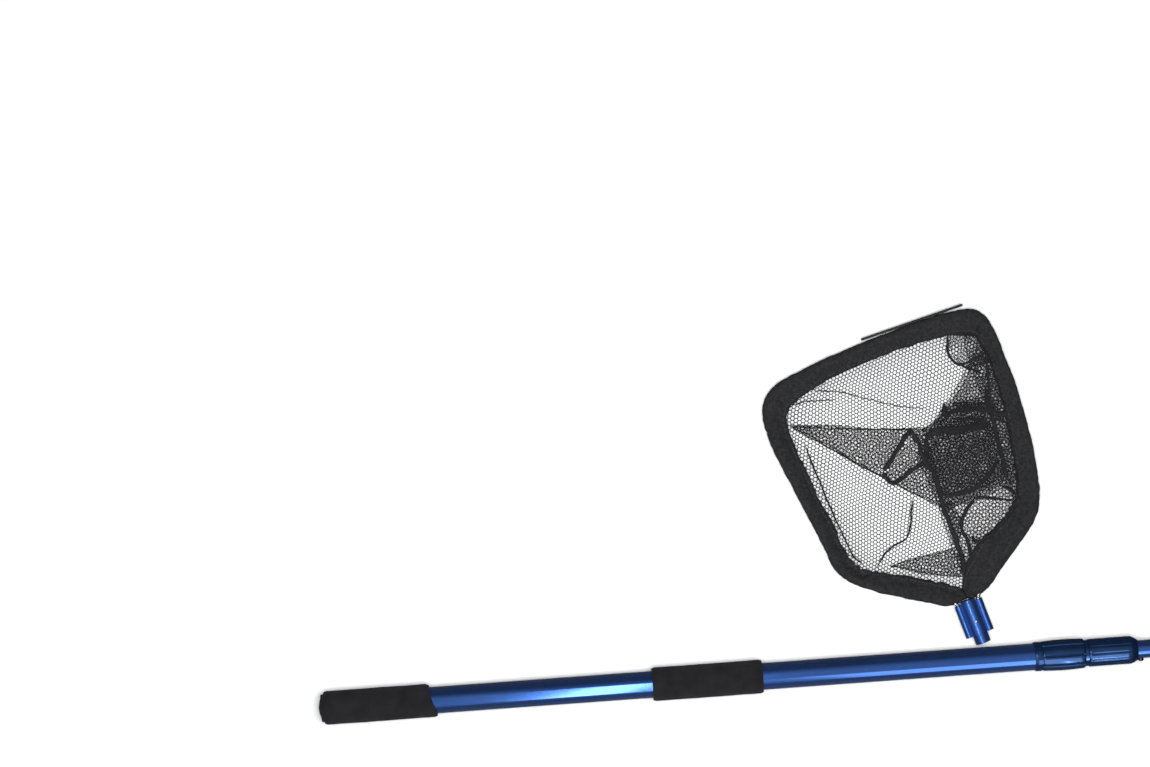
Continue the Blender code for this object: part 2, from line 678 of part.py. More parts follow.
def make_socket(part):
    """The tube through the block that takes the pole's nose, and the rivet that holds it."""
    outer = [(SOCKET_LOW, SOCKET_RADIUS), (SOCKET_HIGH, SOCKET_RADIUS)]
    inner = [(SOCKET_LOW, SOCKET_BORE_RADIUS), (SOCKET_HIGH, SOCKET_BORE_RADIUS)]
    socket = turned(part, "socket_tube", outer, inner, blue_anodised("socket_tube_metal"),
                    parent=part.head, location=(0.0, 0.0, 0.0), rotation=ALONG_HEAD, steps=32)
    part.cut(socket, "socket_rivet_hole", rivet_hole(-RIVET_ALONG))

    seat = BLOCK_RADIUS + GAP
    outer = [(SOCKET_BORE_RADIUS + GAP, 0.0), (SOCKET_BORE_RADIUS + GAP, RIVET_RADIUS),
             (seat, RIVET_RADIUS), (seat, RIVET_HEAD_RADIUS),
             (seat + RIVET_PROUD * 0.5, RIVET_HEAD_RADIUS * 0.85),
             (seat + RIVET_PROUD, RIVET_HEAD_RADIUS * 0.3), (seat + RIVET_PROUD, 0.0)]
    turned(part, "socket_rivet", outer, [], bright_steel("socket_rivet_steel"),
           parent=part.head, location=(0.0, RIVET_ALONG, 0.0), rotation=(0.0, 0.0, 0.0), steps=12)


def whole_polygon(outline):
    """Return an outline's control polygon with its two end points doubled."""
    return outline[:1] + outline + outline[-1:]


def on_curve(polygon, at):
    """Return the point of a smooth curve that rounds a control polygon, counted in spans."""
    span = min(int(at), len(polygon) - 3)
    f = at - span
    weights = (0.5 * (1.0 - f) ** 2, 0.5 + f - f * f, 0.5 * f * f)
    near = polygon[span:span + 3]
    return [sum(w * point[axis] for w, point in zip(weights, near)) for axis in (0, 1)]


def hem_frame(at):
    """Return the hem's outer point, inward direction and width at a place on the mouth."""
    outer = on_curve(whole_polygon(HEM_OUTER), at)
    inner = on_curve(whole_polygon(HEM_INNER), at)
    width = math.dist(outer, inner)
    inward = [(inner[axis] - outer[axis]) / width for axis in (0, 1)]
    return outer, inward, width


def rod_point(at):
    """Return the hoop rod's centre at a place on the mouth, on the head."""
    outer, inward, _ = hem_frame(at)
    return tuple(outer[axis] + ROD_INSET * inward[axis] for axis in (0, 1)) + (0.0,)


def mouth_places(first, last):
    """Return the places on the mouth from one to another, with a few in each span."""
    count = max(1, round((last - first) * STEPS_PER_SPAN))
    return [first + (last - first) * i / count for i in range(count + 1)]


def make_hoop(part):
    """The round rod that is bent into the hoop, with both ends in the block's lobes."""
    last = HEM_LENGTHS[-1][2]
    right = [(LOBE_ACROSS, ROD_END_ALONG, 0.0), (LOBE_ACROSS, ROD_EXIT_ALONG, 0.0),
             (LOBE_ACROSS + ROD_SPREAD, ROD_SPREAD_ALONG, 0.0)]
    left = [(-across, along, up) for across, along, up in reversed(right)]
    places = []
    for _, begin, end in HEM_LENGTHS:
        places += mouth_places(begin, end)[:-1]
    points = right + [rod_point(at) for at in places] + [rod_point(last)] + left
    mesh = curve_mesh("hoop_rod", wire("hoop_rod", points, ROD_RADIUS))
    shade(mesh, 60.0)
    mesh.materials.append(bright_steel("hoop_rod_steel"))
    part.add("hoop_rod", mesh, part.head)


def sleeve_ring(at):
    """Return the outer ring of points of the sleeve's rounded section."""
    outer, inward, width = hem_frame(at)
    ring = []
    for i in range(HEM_SIDES):
        angle = math.tau * i / HEM_SIDES
        c, s = math.cos(angle), math.sin(angle)
        size = (abs(c) ** HEM_FULLNESS + abs(s) ** HEM_FULLNESS) ** (-1.0 / HEM_FULLNESS)
        depth = width / 2.0 * (1.0 - c * size)
        height = HEM_MIDDLE_Z - HEAD_Z + HEM_HALF_HEIGHT * s * size
        ring.append((outer[0] + inward[0] * depth, outer[1] + inward[1] * depth, height))
    return ring


def channel_ring(at):
    """Return the ring of points of the sleeve's channel, round the hoop rod."""
    _, inward, _ = hem_frame(at)
    x, y, z = rod_point(at)
    angles = [math.tau * i / HEM_SIDES for i in range(HEM_SIDES)]
    return [
        (x - inward[0] * CHANNEL_RADIUS * math.cos(a), y - inward[1] * CHANNEL_RADIUS * math.cos(a),
         z + CHANNEL_RADIUS * math.sin(a))
        for a in angles
    ]


def make_hem(part, name, first, last):
    """One length of the fabric sleeve that is sewn round the hoop."""
    start = first + HEM_PART
    end = last - HEM_PART
    places = [start] + mouth_places(first, last)[1:-1] + [end]
    form = bmesh.new()
    shell = skin_rings(form, [sleeve_ring(at) for at in places])
    channel = skin_rings(form, [channel_ring(at) for at in places])
    for outside, inside in ((shell[0], channel[0]), (shell[-1], channel[-1])):
        for i in range(HEM_SIDES):
            j = (i + 1) % HEM_SIDES
            form.faces.new((outside[i], outside[j], inside[j], inside[i]))
    bmesh.ops.recalc_face_normals(form, faces=form.faces)
    mesh = mesh_from(form, name)
    shade(mesh, 60.0)
    mesh.materials.append(black_fabric(name + "_fabric"))
    part.add(name, mesh, part.head)


def make_edge_strip(part):
    """The slim stiff strip that is sewn along the outside of the far edge."""
    height = STRIP_Z - HEAD_Z
    points = [(*STRIP_FROM, height), (*STRIP_TO, height)]
    mesh = curve_mesh("edge_strip", wire("edge_strip", points, STRIP_RADIUS))
    shade(mesh, 60.0)
    mesh.materials.append(navy_plastic("edge_strip_plastic"))
    part.add("edge_strip", mesh, part.head)


def make_bag(part):
    """The net bag, fallen into the mouth: a plain closed solid with a low heap."""
    first = HEM_LENGTHS[0][1]
    last = HEM_LENGTHS[-1][2]
    edge = [on_curve(whole_polygon(HEM_INNER), at) for at in mouth_places(first, last)]

    def ring(scale, height):
        return [
            (BAG_MIDDLE[0] + (x - BAG_MIDDLE[0]) * scale,
             BAG_MIDDLE[1] + (y - BAG_MIDDLE[1]) * scale, height - HEAD_Z)
            for x, y in edge
        ]

    form = bmesh.new()
    rings = [ring(BAG_RINGS[0][0], BAG_FLOOR)] + [ring(*pair) for pair in BAG_RINGS]
    made = skin_rings(form, rings)
    form.faces.new(made[0])
    form.faces.new(made[-1])
    bmesh.ops.recalc_face_normals(form, faces=form.faces)
    mesh = mesh_from(form, "net_bag")
    shade(mesh, 60.0)
    mesh.materials.append(black_fabric("net_bag_netting"))
    part.add("net_bag", mesh, part.head)


def make_head(part):
    """All pieces of the net head."""
    make_block(part)
    make_socket(part)
    make_hoop(part)
    for name, first, last in HEM_LENGTHS:
        make_hem(part, name, first, last)
    make_edge_strip(part)
    make_bag(part)


def main():
    """Build the whole part."""
    clear_scene()
    part = Part()
    make_pole(part)
    make_head(part)


main()
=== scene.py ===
import json
import math

import bmesh
import bpy
import numpy as np
from bpy.props import FloatProperty, FloatVectorProperty, IntProperty, PointerProperty
from mathutils import Matrix, Vector, noise

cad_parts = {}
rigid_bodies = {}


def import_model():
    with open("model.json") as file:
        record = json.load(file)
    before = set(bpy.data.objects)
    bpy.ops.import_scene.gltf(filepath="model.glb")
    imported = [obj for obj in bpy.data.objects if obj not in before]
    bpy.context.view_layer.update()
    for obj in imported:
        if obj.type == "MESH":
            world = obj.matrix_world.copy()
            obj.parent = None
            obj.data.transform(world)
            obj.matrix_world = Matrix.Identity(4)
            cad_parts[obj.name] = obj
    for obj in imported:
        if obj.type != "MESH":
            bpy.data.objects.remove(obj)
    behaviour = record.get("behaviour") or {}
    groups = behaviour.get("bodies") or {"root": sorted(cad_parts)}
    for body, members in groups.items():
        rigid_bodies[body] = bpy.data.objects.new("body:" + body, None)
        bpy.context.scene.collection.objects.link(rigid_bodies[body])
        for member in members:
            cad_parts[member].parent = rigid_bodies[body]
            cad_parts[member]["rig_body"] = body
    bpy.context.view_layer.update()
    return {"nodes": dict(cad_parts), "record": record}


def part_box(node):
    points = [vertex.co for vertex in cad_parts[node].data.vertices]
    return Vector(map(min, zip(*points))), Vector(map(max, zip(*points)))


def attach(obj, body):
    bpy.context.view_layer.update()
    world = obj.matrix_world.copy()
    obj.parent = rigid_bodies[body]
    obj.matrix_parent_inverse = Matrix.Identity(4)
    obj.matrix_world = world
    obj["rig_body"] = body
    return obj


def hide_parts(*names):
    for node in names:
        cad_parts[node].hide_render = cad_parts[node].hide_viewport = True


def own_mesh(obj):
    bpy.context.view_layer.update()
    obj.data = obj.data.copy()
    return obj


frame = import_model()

# A bagged skimmer net: a telescopic pole on its foam grips, and the net head beside it. Lengths
# are in metres. A place on the head is (across, along), counted from the middle of the block's
# top edge, with along towards the far edge of the mouth.

bl_info = {
    "name": "Leaf skimmer net",
    "version": (1, 0, 0),
    "blender": (4, 5, 0),
    "location": "3D View > Sidebar > Skimmer",
    "description": "Finishes the pole, the head and the bag of a skimmer net",
    "category": "Add Mesh",
}

UP = Vector((0.0, 0.0, 1.0))
NOISE_SEED = 7               # noise vectors differ from run to run unless they are seeded
MERGE = 0.00001              # points nearer than this are one
GAP = 0.0003                 # round a tube, inside the foam or the collar on it
LIP_GAP = 0.0006             # round a tube, inside the lip of the collar that it slides through
FLOOR_GAP = 0.0002           # fabric and netting come no lower than this
SOCKET_TO_TOP = 0.0482       # from the socket's mouth to the top edge of the block

GRIP_ROUNDING = (0.0030, 0.0012)      # how far along, and how deep, a grip's end is rounded
GRIP_DOME = (0.0068, 0.0008, 0.0082)  # the closed end's length and soft edge, and the side's start
GRIP_LUMP = (0.00028, 0.0002)         # size of the foam's lumps, and how far they sink in all
SLIDE_IN = 0.0004                     # an open end is cut back this much round the bore

# Outlines of the hem, as the control points of smooth curves, from the block's right side round
# the mouth and back to its left side. The lower right of the hem is gathered wider.
HEM_OUTER = (
    (0.0003, 0.0042), (0.0200, 0.0012), (0.0600, 0.0290), (0.0970, 0.0520), (0.1180, 0.0760),
    (0.1295, 0.1220), (0.1365, 0.1800), (0.1390, 0.2300), (0.1375, 0.2870), (0.1240, 0.3095),
    (0.0700, 0.3142), (0.0000, 0.3150),
    (-0.0700, 0.3120), (-0.1240, 0.3060), (-0.1422, 0.2785), (-0.1440, 0.2430),
    (-0.1370, 0.1850), (-0.1290, 0.1180), (-0.1270, 0.0770), (-0.0930, 0.0480),
    (-0.0500, 0.0200), (-0.0200, 0.0012), (-0.0003, 0.0042),
)
HEM_INNER = (
    (0.0003, 0.0175), (0.0080, 0.0360), (0.0300, 0.0590), (0.0620, 0.0690), (0.0950, 0.0900),
    (0.1045, 0.1280), (0.1145, 0.1790), (0.1195, 0.2270), (0.1180, 0.2680), (0.1070, 0.2820),
    (0.0620, 0.2895), (0.0000, 0.2920),
    (-0.0500, 0.2895), (-0.1040, 0.2800), (-0.1175, 0.2620), (-0.1175, 0.2300),
    (-0.1140, 0.1800), (-0.1085, 0.1250), (-0.1050, 0.0840), (-0.0820, 0.0680),
    (-0.0400, 0.0460), (-0.0130, 0.0270), (-0.0003, 0.0175),
)
HEM_CORNERS = (4.0, 9.0, 14.0, 19.0)        # where the hem turns, in spans from the block
HEM_LAST = 23.0                             # the span where the hem ends, back at the block
HEM_HALF = (0.0074, 0.0038)                 # half its height at the rod, and its loss inwards
HEM_RISE = (0.0074, 0.0022)                 # height of its middle at the rod, and its loss inwards
HEM_SECTION = 2.6                           # 2 would be an ellipse, and more is squarer
HEM_CALM = (0.42, 0.2)                      # folds grow from this depth, over this much depth
HEM_LENGTH, HEM_GIRTH = 0.97, 0.065
STITCHED_LENGTH = 0.90
STITCH_ANGLE = math.radians(128.0)          # where the seam runs, round the hem's section
STITCH_SIZE = (0.0015, 0.00042, 0.00034)    # half a stitch, along, across and up

# Layers of netting that lie on the bag's open layer. Each is a convex outline in millimetres on
# the head, its height in layers, and the turn of its meshes in degrees.
FOLDS = (
    (((-113, 254), (-76, 209), (-35, 161), (-12, 136), (14, 108), (24, 198)), 1.0, 17.0),
    (((-113, 254), (-76, 209), (-35, 161), (-12, 136), (14, 108), (24, 198)), 2.0, -24.0),
    (((8, 18), (130, 18), (130, 276), (113, 262), (8, 181)), 3.0, 38.0),
    (((14, 104), (128, 112), (130, 262), (112, 256), (16, 180)), 4.0, -9.0),
    (((84, 264), (92, 246), (130, 240), (130, 300), (84, 292)), 3.0, 12.0),
    (((104, 288), (100, 262), (98, 190), (130, 176), (130, 280)), 5.0, 47.0),
    (((-68, 69), (-36, 48), (8, 28), (12, 62)), 1.0, 30.0),
    (((-68, 69), (-36, 48), (8, 28), (12, 62)), 2.0, -15.0),
    (((8, 22), (26, 44), (28, 64), (26, 82), (48, 108), (12, 112)), 4.0, 8.0),
    (((8, 26), (24, 50), (24, 82), (46, 108), (12, 112)), 5.0, -28.0),
    (((84, 60), (126, 70), (124, 112), (84, 108), (88, 88)), 4.0, 20.0),
    (((12, 112), (44, 104), (106, 104), (116, 130), (108, 200), (62, 208), (16, 196)), 5.0, 27.0),
    (((16, 118), (64, 112), (98, 120), (94, 180), (44, 192), (14, 172)), 6.0, -33.0),
    (((22, 196), (62, 186), (104, 192), (106, 206), (70, 214), (50, 207)), 6.0, 5.0),
)
# Bunched netting between the folded layers, in the same terms. Its meshes are pulled together.
BUNCHES = (
    (((20, 193), (62, 186), (98, 178), (92, 160), (16, 160)), 2.4, 12.0),
    (((14, 164), (95, 172), (84, 128), (40, 117), (16, 122)), 2.6, 31.0),
    (((24, 186), (90, 176), (80, 130), (40, 122), (18, 146)), 3.6, -20.0),
    (((12, 124), (50, 110), (34, 88), (13, 84)), 2.4, 44.0),
    (((14, 118), (50, 107), (33, 89), (24, 62), (12, 58)), 3.4, -51.0),
    (((12, 94), (34, 92), (25, 62), (12, 56)), 2.5, -6.0),
    (((12, 70), (25, 66), (20, 40), (3, 16)), 2.6, 19.0),
    (((78, 170), (98, 170), (96, 96), (84, 94)), 2.4, 3.0),
    (((46, 112), (92, 114), (92, 94), (66, 98)), 2.5, 33.0),
    (((54, 218), (52, 204), (104, 192), (118, 184), (104, 204), (70, 213)), 3.0, 25.0),
    (((14, 118), (50, 108), (44, 90), (32, 70), (24, 54), (12, 48)), 4.3, 66.0),
    (((18, 184), (92, 176), (84, 130), (42, 119), (16, 126)), 4.5, 52.0),
)
# Seams of the bag: points on the head and width in millimetres, and height in layers
SEAMS = (
    (((-35, 171), (-12, 188), (10, 205)), 5.0, 3.2),
    (((10, 206), (12, 186), (11, 165)), 4.8, 5.6),
    (((12, 165), (-8, 160), (-28, 153)), 4.8, 3.2),
    (((-27, 152), (-34, 158), (-36, 170)), 4.6, 3.2),
    (((56, 218), (53, 205), (69, 205), (85, 199), (101, 190), (119, 180)), 6.0, 3.6),
    (((57, 199), (81, 189), (101, 181), (115, 171)), 3.2, 3.6),
    (((23, 192), (44, 190), (60, 184), (78, 182), (96, 178)), 9.0, 3.6),
    (((23, 191), (18, 174), (12, 163), (17, 147), (14, 120), (13, 93), (13, 70), (12, 47),
      (4, 22)), 5.0, 4.2),
    (((49, 105), (34, 95), (24, 80), (25, 63), (20, 44)), 3.6, 3.4),
    (((18, 120), (36, 117), (56, 118), (75, 126), (90, 137)), 4.6, 4.2),
    (((84, 108), (94, 92), (96, 74)), 4.0, 5.6),
    (((30, 68), (35, 60), (52, 62), (72, 71), (91, 83)), 3.6, 5.6),
    (((50, 107), (66, 100), (88, 88)), 2.8, 5.6),
    (((105, 218), (100, 180), (95, 140), (90, 112)), 4.2, 3.8),
    (((121, 260), (112, 226), (104, 198)), 2.6, 5.6),
    (((87, 288), (80, 268), (87, 253), (105, 252), (118, 254)), 2.6, 5.6),
    (((87, 253), (97, 243), (106, 236)), 2.4, 5.6),
    (((-16, 131), (-25, 111), (-38, 92), (-60, 87), (-82, 73)), 1.7, 3.2),
    (((-107, 234), (-106, 160), (-102, 100), (-95, 82)), 1.6, 3.2),
    (((-113, 254), (-95, 231), (-76, 210), (-56, 184), (-35, 161), (-12, 136)), 1.3, 3.2),
    (((-113, 254), (-52, 228), (9, 205)), 1.1, 3.2),
    (((-76, 284), (-47, 271), (-20, 251), (6, 234), (34, 219)), 0.9, 1.0),
    (((-103, 276), (-87, 275), (-56, 265)), 0.9, 1.0),
)
LOW_LEVEL = 3.0              # folds below this level are of thinner strands than the others
LOW_STRAND, HIGH_STRAND = 0.72, 0.80
BUNCH_PITCH, BUNCH_STRAND = 0.55, 1.12
PULL, RUFFLE = 0.0042, 0.0010        # how far the meshes are pulled out of line, broad and fine


# Settings

def linear(hex_code):
    """Turn an sRGB hex colour into linear red, green, blue and alpha."""
    parts = [int(hex_code[i:i + 2], 16) / 255.0 for i in (1, 3, 5)]
    return (*(p / 12.92 if p <= 0.04045 else ((p + 0.055) / 1.055) ** 2.4 for p in parts), 1.0)


def length(name, description, default):
    """Return a property for a length in metres."""
    return FloatProperty(name=name, description=description, default=default, unit="LENGTH",
                         precision=5)


def tint(name, description, hex_code):
    """Return a property for a colour."""
    return FloatVectorProperty(name=name, description=description, default=linear(hex_code),
                               subtype="COLOR", size=4, min=0.0, max=1.0)


class PoleSettings(bpy.types.PropertyGroup):
    """Sizes and colours of the pole."""
    blue: tint("Anodised blue", "Dye of the aluminium tubes", "#3562AE")
    navy: tint("Collar navy", "Colour of the twist collars", "#284979")
    foam: tint("Foam", "Colour of the grips", "#1F1E21")
    collar_ring: length("Collar ring", "Plain ring at the tail of the large collar", 0.009)
    large_groove: length("Large groove", "Depth between the large collar's panels", 0.0010)
    small_groove: length("Small groove", "Depth between the small collar's ribs", 0.0005)
    slant: FloatProperty(name="Slant", description="Slope of the butt grip's cut mouth",
                         default=0.24)
    large_panels: IntProperty(name="Large panels", description="Panels of the large collar",
                              default=8)
    small_panels: IntProperty(name="Small ribs", description="Ribs of the small collar",
                              default=12)


class HeadSettings(bpy.types.PropertyGroup):
    """Sizes and colours of the head."""
    hem: tint("Hem fabric", "Colour of the hem's woven fabric", "#232324")
    thread: tint("Thread", "Colour of the hem's stitches", "#2E2F32")
    yarn: tint("Yarn", "Colour of the netting", "#1B1B1D")
    mesh_pitch: length("Mesh pitch", "Distance between opposite sides of a mesh", 0.0042)
    strand: length("Strand", "Width of one strand of the netting", 0.00104)
    layer: length("Layer", "Height of one layer of netting on the next", 0.0010)
    stitch: length("Stitch", "Distance from one stitch to the next", 0.0045)


class StageSettings(bpy.types.PropertyGroup):
    """The floor, the lights and the camera."""
    floor: tint("Floor", "Colour of the floor", "#F6F6F5")
    floor_side: length("Floor side", "Side of the square floor", 16.0)
    view_width: length("View width", "Width of floor that the camera sees", 1.288)
    camera_turn: FloatProperty(name="Camera turn", description="Roll of the downward camera",
                               default=math.radians(-4.14), subtype="ANGLE")


# Materials

def add_node(tree, kind, inputs=(), **settings):
    """Add a node. inputs pairs a socket's name or number with a value or another node's socket."""
    made = tree.nodes.new(kind)
    for key, value in settings.items():
        setattr(made, key, value)
    for key, value in dict(inputs).items():
        if isinstance(value, bpy.types.NodeSocket):
            tree.links.new(value, made.inputs[key])
        else:
            made.inputs[key].default_value = value
    return made


def new_finish(name, values):
    """Return a material, its tree, its Principled shader with these values, and its places."""
    finish = bpy.data.materials.new(name)
    finish.use_nodes = True
    tree = finish.node_tree
    shader = tree.nodes["Principled BSDF"]
    for key, value in values.items():
        shader.inputs[key].default_value = value
    return finish, tree, shader, add_node(tree, "ShaderNodeTexCoord").outputs


def shade_of(colour, factor):
    """Return a colour made lighter or darker."""
    return (*(min(1.0, c * factor) for c in colour[:3]), 1.0)


def mottle(tree, shader, coordinates, scale, low, high, detail=3.0):
    """Vary a shader's base colour between two tones with soft noise, and return the noise."""
    spots = add_node(tree, "ShaderNodeTexNoise",
                     {"Vector": coordinates, "Scale": scale, "Detail": detail})
    ramp = add_node(tree, "ShaderNodeValToRGB", {"Fac": spots.outputs["Fac"]})
    ramp.color_ramp.elements[0].position = 0.30
    ramp.color_ramp.elements[0].color = low
    ramp.color_ramp.elements[1].position = 0.70
    ramp.color_ramp.elements[1].color = high
    tree.links.new(ramp.outputs["Color"], shader.inputs["Base Color"])
    return spots


def relief(tree, shader, height, distance, strength=1.0):
    """Give a shader the relief of a height socket."""
    bump = add_node(tree, "ShaderNodeBump",
                    {"Height": height, "Distance": distance, "Strength": strength})
    tree.links.new(bump.outputs["Normal"], shader.inputs["Normal"])


def vary_roughness(tree, shader, factor, low, high):
    """Vary a shader's roughness between two values."""
    spread = add_node(tree, "ShaderNodeMapRange",
                      {"Value": factor, "To Min": low, "To Max": high})
    tree.links.new(spread.outputs["Result"], shader.inputs["Roughness"])


def anodised_aluminium(name, colour, turn=0.0, roughness=(0.10, 0.16)):
    """Drawn and dyed aluminium: satin, with faint lines along the tube and a clear seal."""
    finish, tree, shader, place = new_finish(name, {
        "Metallic": 0.9, "Roughness": 0.13, "Coat Weight": 0.5, "Coat Roughness": 0.1,
        "Sheen Weight": 0.04, "Sheen Roughness": 0.6})
    # lines 0.5 mm apart round the tube and about 0.3 m long
    lines = add_node(tree, "ShaderNodeMapping", {
        "Vector": place["Object"], "Rotation": (0.0, 0.0, -turn),
        "Scale": (3.0, 1800.0, 1800.0)})
    drawn = add_node(tree, "ShaderNodeTexNoise",
                     {"Vector": lines.outputs["Vector"], "Scale": 1.0, "Detail": 2.0})
    mottle(tree, shader, place["Object"], 9.0, shade_of(colour, 0.90),
           shade_of(colour, 1.10))
    vary_roughness(tree, shader, drawn.outputs["Fac"], *roughness)
    relief(tree, shader, drawn.outputs["Fac"], 0.00001, 0.3)
    return finish


def moulded_abs(name, colour, roughness=0.15, pearl=0.0):
    """Injection-moulded ABS: a gloss skin with a slight orange peel, or pearl pigment in it."""
    finish, tree, shader, place = new_finish(name, {
        "Roughness": roughness, "Specular IOR Level": 0.55, "Metallic": pearl,
        "Coat Weight": 0.25 * pearl, "Coat Roughness": 0.06})
    mottle(tree, shader, place["Object"], 60.0, shade_of(colour, 0.88),
           shade_of(colour, 1.12))
    # peel 1.5 mm across
    peel = add_node(tree, "ShaderNodeTexNoise",
                    {"Vector": place["Object"], "Scale": 650.0, "Detail": 2.0})
    vary_roughness(tree, shader, peel.outputs["Fac"], roughness * 0.8, roughness * 1.3)
    relief(tree, shader, peel.outputs["Fac"], 0.00003, 0.3)
    return finish


def eva_foam(name, colour):
    """Closed-cell EVA foam: matt, with fine open cells 0.8 mm wide and rubbed paler patches."""
    finish, tree, shader, place = new_finish(name, {
        "Roughness": 0.92, "Specular IOR Level": 0.25, "Sheen Weight": 0.25,
        "Sheen Roughness": 0.5, "Sheen Tint": shade_of(colour, 6.0)})
    mottle(tree, shader, place["Object"], 55.0, shade_of(colour, 0.72),
           shade_of(colour, 1.25), 8.0)
    cells = add_node(tree, "ShaderNodeTexVoronoi",
                     {"Vector": place["Object"], "Scale": 1100.0})
    pores = add_node(tree, "ShaderNodeTexNoise",
                     {"Vector": place["Object"], "Scale": 380.0, "Detail": 5.0})
    both = add_node(tree, "ShaderNodeMath",
                    {0: cells.outputs["Distance"], 1: pores.outputs["Fac"]}, operation="ADD")
    relief(tree, shader, both.outputs["Value"], 0.0004, 0.8)
    return finish


def woven_polyester(name, colour):
    """Plain-weave polyester: dull and dark, with a soft sheen where it turns away."""
    finish, tree, shader, place = new_finish(name, {
        "Roughness": 0.8, "Specular IOR Level": 0.3, "Sheen Weight": 0.12,
        "Sheen Roughness": 0.45, "Sheen Tint": shade_of(colour, 8.0)})
    mottle(tree, shader, place["Object"], 340.0, shade_of(colour, 0.55),
           shade_of(colour, 1.5), 6.0)
    # threads are 0.4 mm apart, drawn 1.2 mm apart so that the weave can be seen
    threads = [
        add_node(tree, "ShaderNodeTexWave", {"Vector": place["UV"], "Scale": 260.0,
                                             "Distortion": 0.6, "Detail": 1.0},
                 wave_type="BANDS", bands_direction=direction)
        for direction in ("X", "Y")
    ]
    weave = add_node(tree, "ShaderNodeMath",
                     {0: threads[0].outputs["Fac"], 1: threads[1].outputs["Fac"]},
                     operation="MAXIMUM")
    relief(tree, shader, weave.outputs["Value"], 0.00018, 0.7)
    return finish


def knitted_polyester(name, colour):
    """Warp-knitted polyester yarn: dark and slightly shiny, its tone varying at random, with paler
    strands here and there that are painted glints.
    """
    finish, tree, shader, place = new_finish(name, {
        "Roughness": 0.55, "Specular IOR Level": 0.25, "Sheen Weight": 0.05,
        "Sheen Roughness": 0.35, "Sheen Tint": linear("#AAB2C0")})
    # painted glints: the noise makes some strands up to 1.8 times paler than the yarn
    mottle(tree, shader, place["Object"], 420.0, shade_of(colour, 0.4),
           shade_of(colour, 1.8), 3.0)
    # filaments of the yarn, 0.3 mm
    filaments = add_node(tree, "ShaderNodeTexNoise",
                         {"Vector": place["Object"], "Scale": 3200.0, "Detail": 1.0})
    relief(tree, shader, filaments.outputs["Fac"], 0.0001, 0.6)
    return finish


def sewing_thread(name, colour):
    """Twisted polyester thread: dull, with the light and dark of its plies 0.7 mm apart."""
    finish, tree, shader, place = new_finish(name, {"Roughness": 0.6, "Sheen Weight": 0.3})
    plies = mottle(tree, shader, place["Object"], 1400.0, shade_of(colour, 0.7),
                   shade_of(colour, 1.3), 2.0)
    relief(tree, shader, plies.outputs["Fac"], 0.00008, 0.5)
    return finish


def scratched_metal(name, tones=("#B4B6BA", "#DADBDD")):
    """Plated or blackened steel, or aluminium worn bare: a metal with fine scratches."""
    finish, tree, shader, place = new_finish(name, {"Metallic": 1.0, "Roughness": 0.25})
    mottle(tree, shader, place["Object"], 300.0, *(linear(tone) for tone in tones))
    scratches = add_node(tree, "ShaderNodeTexNoise",
                         {"Vector": place["Object"], "Scale": 1800.0, "Detail": 2.0})
    vary_roughness(tree, shader, scratches.outputs["Fac"], 0.18, 0.34)
    return finish


def painted_board(name, colour):
    """Matt white paint on board, with a faint unevenness."""
    finish, tree, shader, place = new_finish(name, {"Roughness": 0.7, "Specular IOR Level": 0.2})
    mottle(tree, shader, place["Object"], 2.0, shade_of(colour, 0.985), colour)
    return finish


# Shapes

def finished(name, form, finish, body, nodes=(), smooth=35.0):
    """Make a piece of a bmesh. It rides on a body and stands for the CAD nodes it replaces."""
    mesh = bpy.data.meshes.new(name)
    form.to_mesh(mesh)
    form.free()
    mesh.shade_smooth()
    mesh.set_sharp_from_angle(angle=math.radians(smooth))
    mesh.materials.append(finish)
    piece = bpy.data.objects.new(name, mesh)
    bpy.context.scene.collection.objects.link(piece)
    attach(piece, body)
    if nodes:
        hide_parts(*nodes)
    return piece


def body_of_node(node):
    """Return the name of the body that a CAD node rides on."""
    return frame["nodes"][node]["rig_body"]


def refined(name, node, finish, edge=0.0, smooth=35.0, worn=None):
    """Copy a CAD node, weld it, shade it smooth and soften its edges, worn to another finish."""
    form = bmesh.new()
    form.from_mesh(frame["nodes"][node].data)
    bmesh.ops.remove_doubles(form, verts=form.verts, dist=MERGE)
    bmesh.ops.dissolve_limit(form, angle_limit=math.radians(0.5), verts=form.verts,
                             edges=form.edges)
    piece = finished(name, form, finish, body_of_node(node), [node], smooth)
    if worn:
        piece.data.materials.append(worn)
    if edge:
        bevel = piece.modifiers.new("soft edges", "BEVEL")
        bevel.material = 1 if worn else -1
        bevel.width = edge
        bevel.segments = 2
        bevel.limit_method = "ANGLE"
        bevel.angle_limit = math.radians(smooth)
        bevel.harden_normals = True
    return piece


def along_pole(node):
    """Return where a round CAD node of the pole starts and ends, its axis and its radius."""
    low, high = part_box(node)
    middle = (low + high) / 2.0
    return low.x, high.x, middle.y, middle.z, (high.y - low.y) / 2.0


def turned(outline, y, z, steps):
    """Turn an outline of (station, radius) points round a line along X, and return its bmesh."""
    form = bmesh.new()
    points = [form.verts.new((station, y, z + radius)) for station, radius in outline]
    edges = [form.edges.new(pair) for pair in zip(points, points[1:] + points[:1])
             if pair[0].co.z > z + MERGE or pair[1].co.z > z + MERGE]
    bmesh.ops.spin(form, geom=points + edges, cent=(0.0, y, z), axis=(1.0, 0.0, 0.0),
                   angle=math.tau, steps=steps, use_merge=True)
    bmesh.ops.remove_doubles(form, verts=form.verts, dist=MERGE)
    bmesh.ops.recalc_face_normals(form, faces=form.faces)
    return form


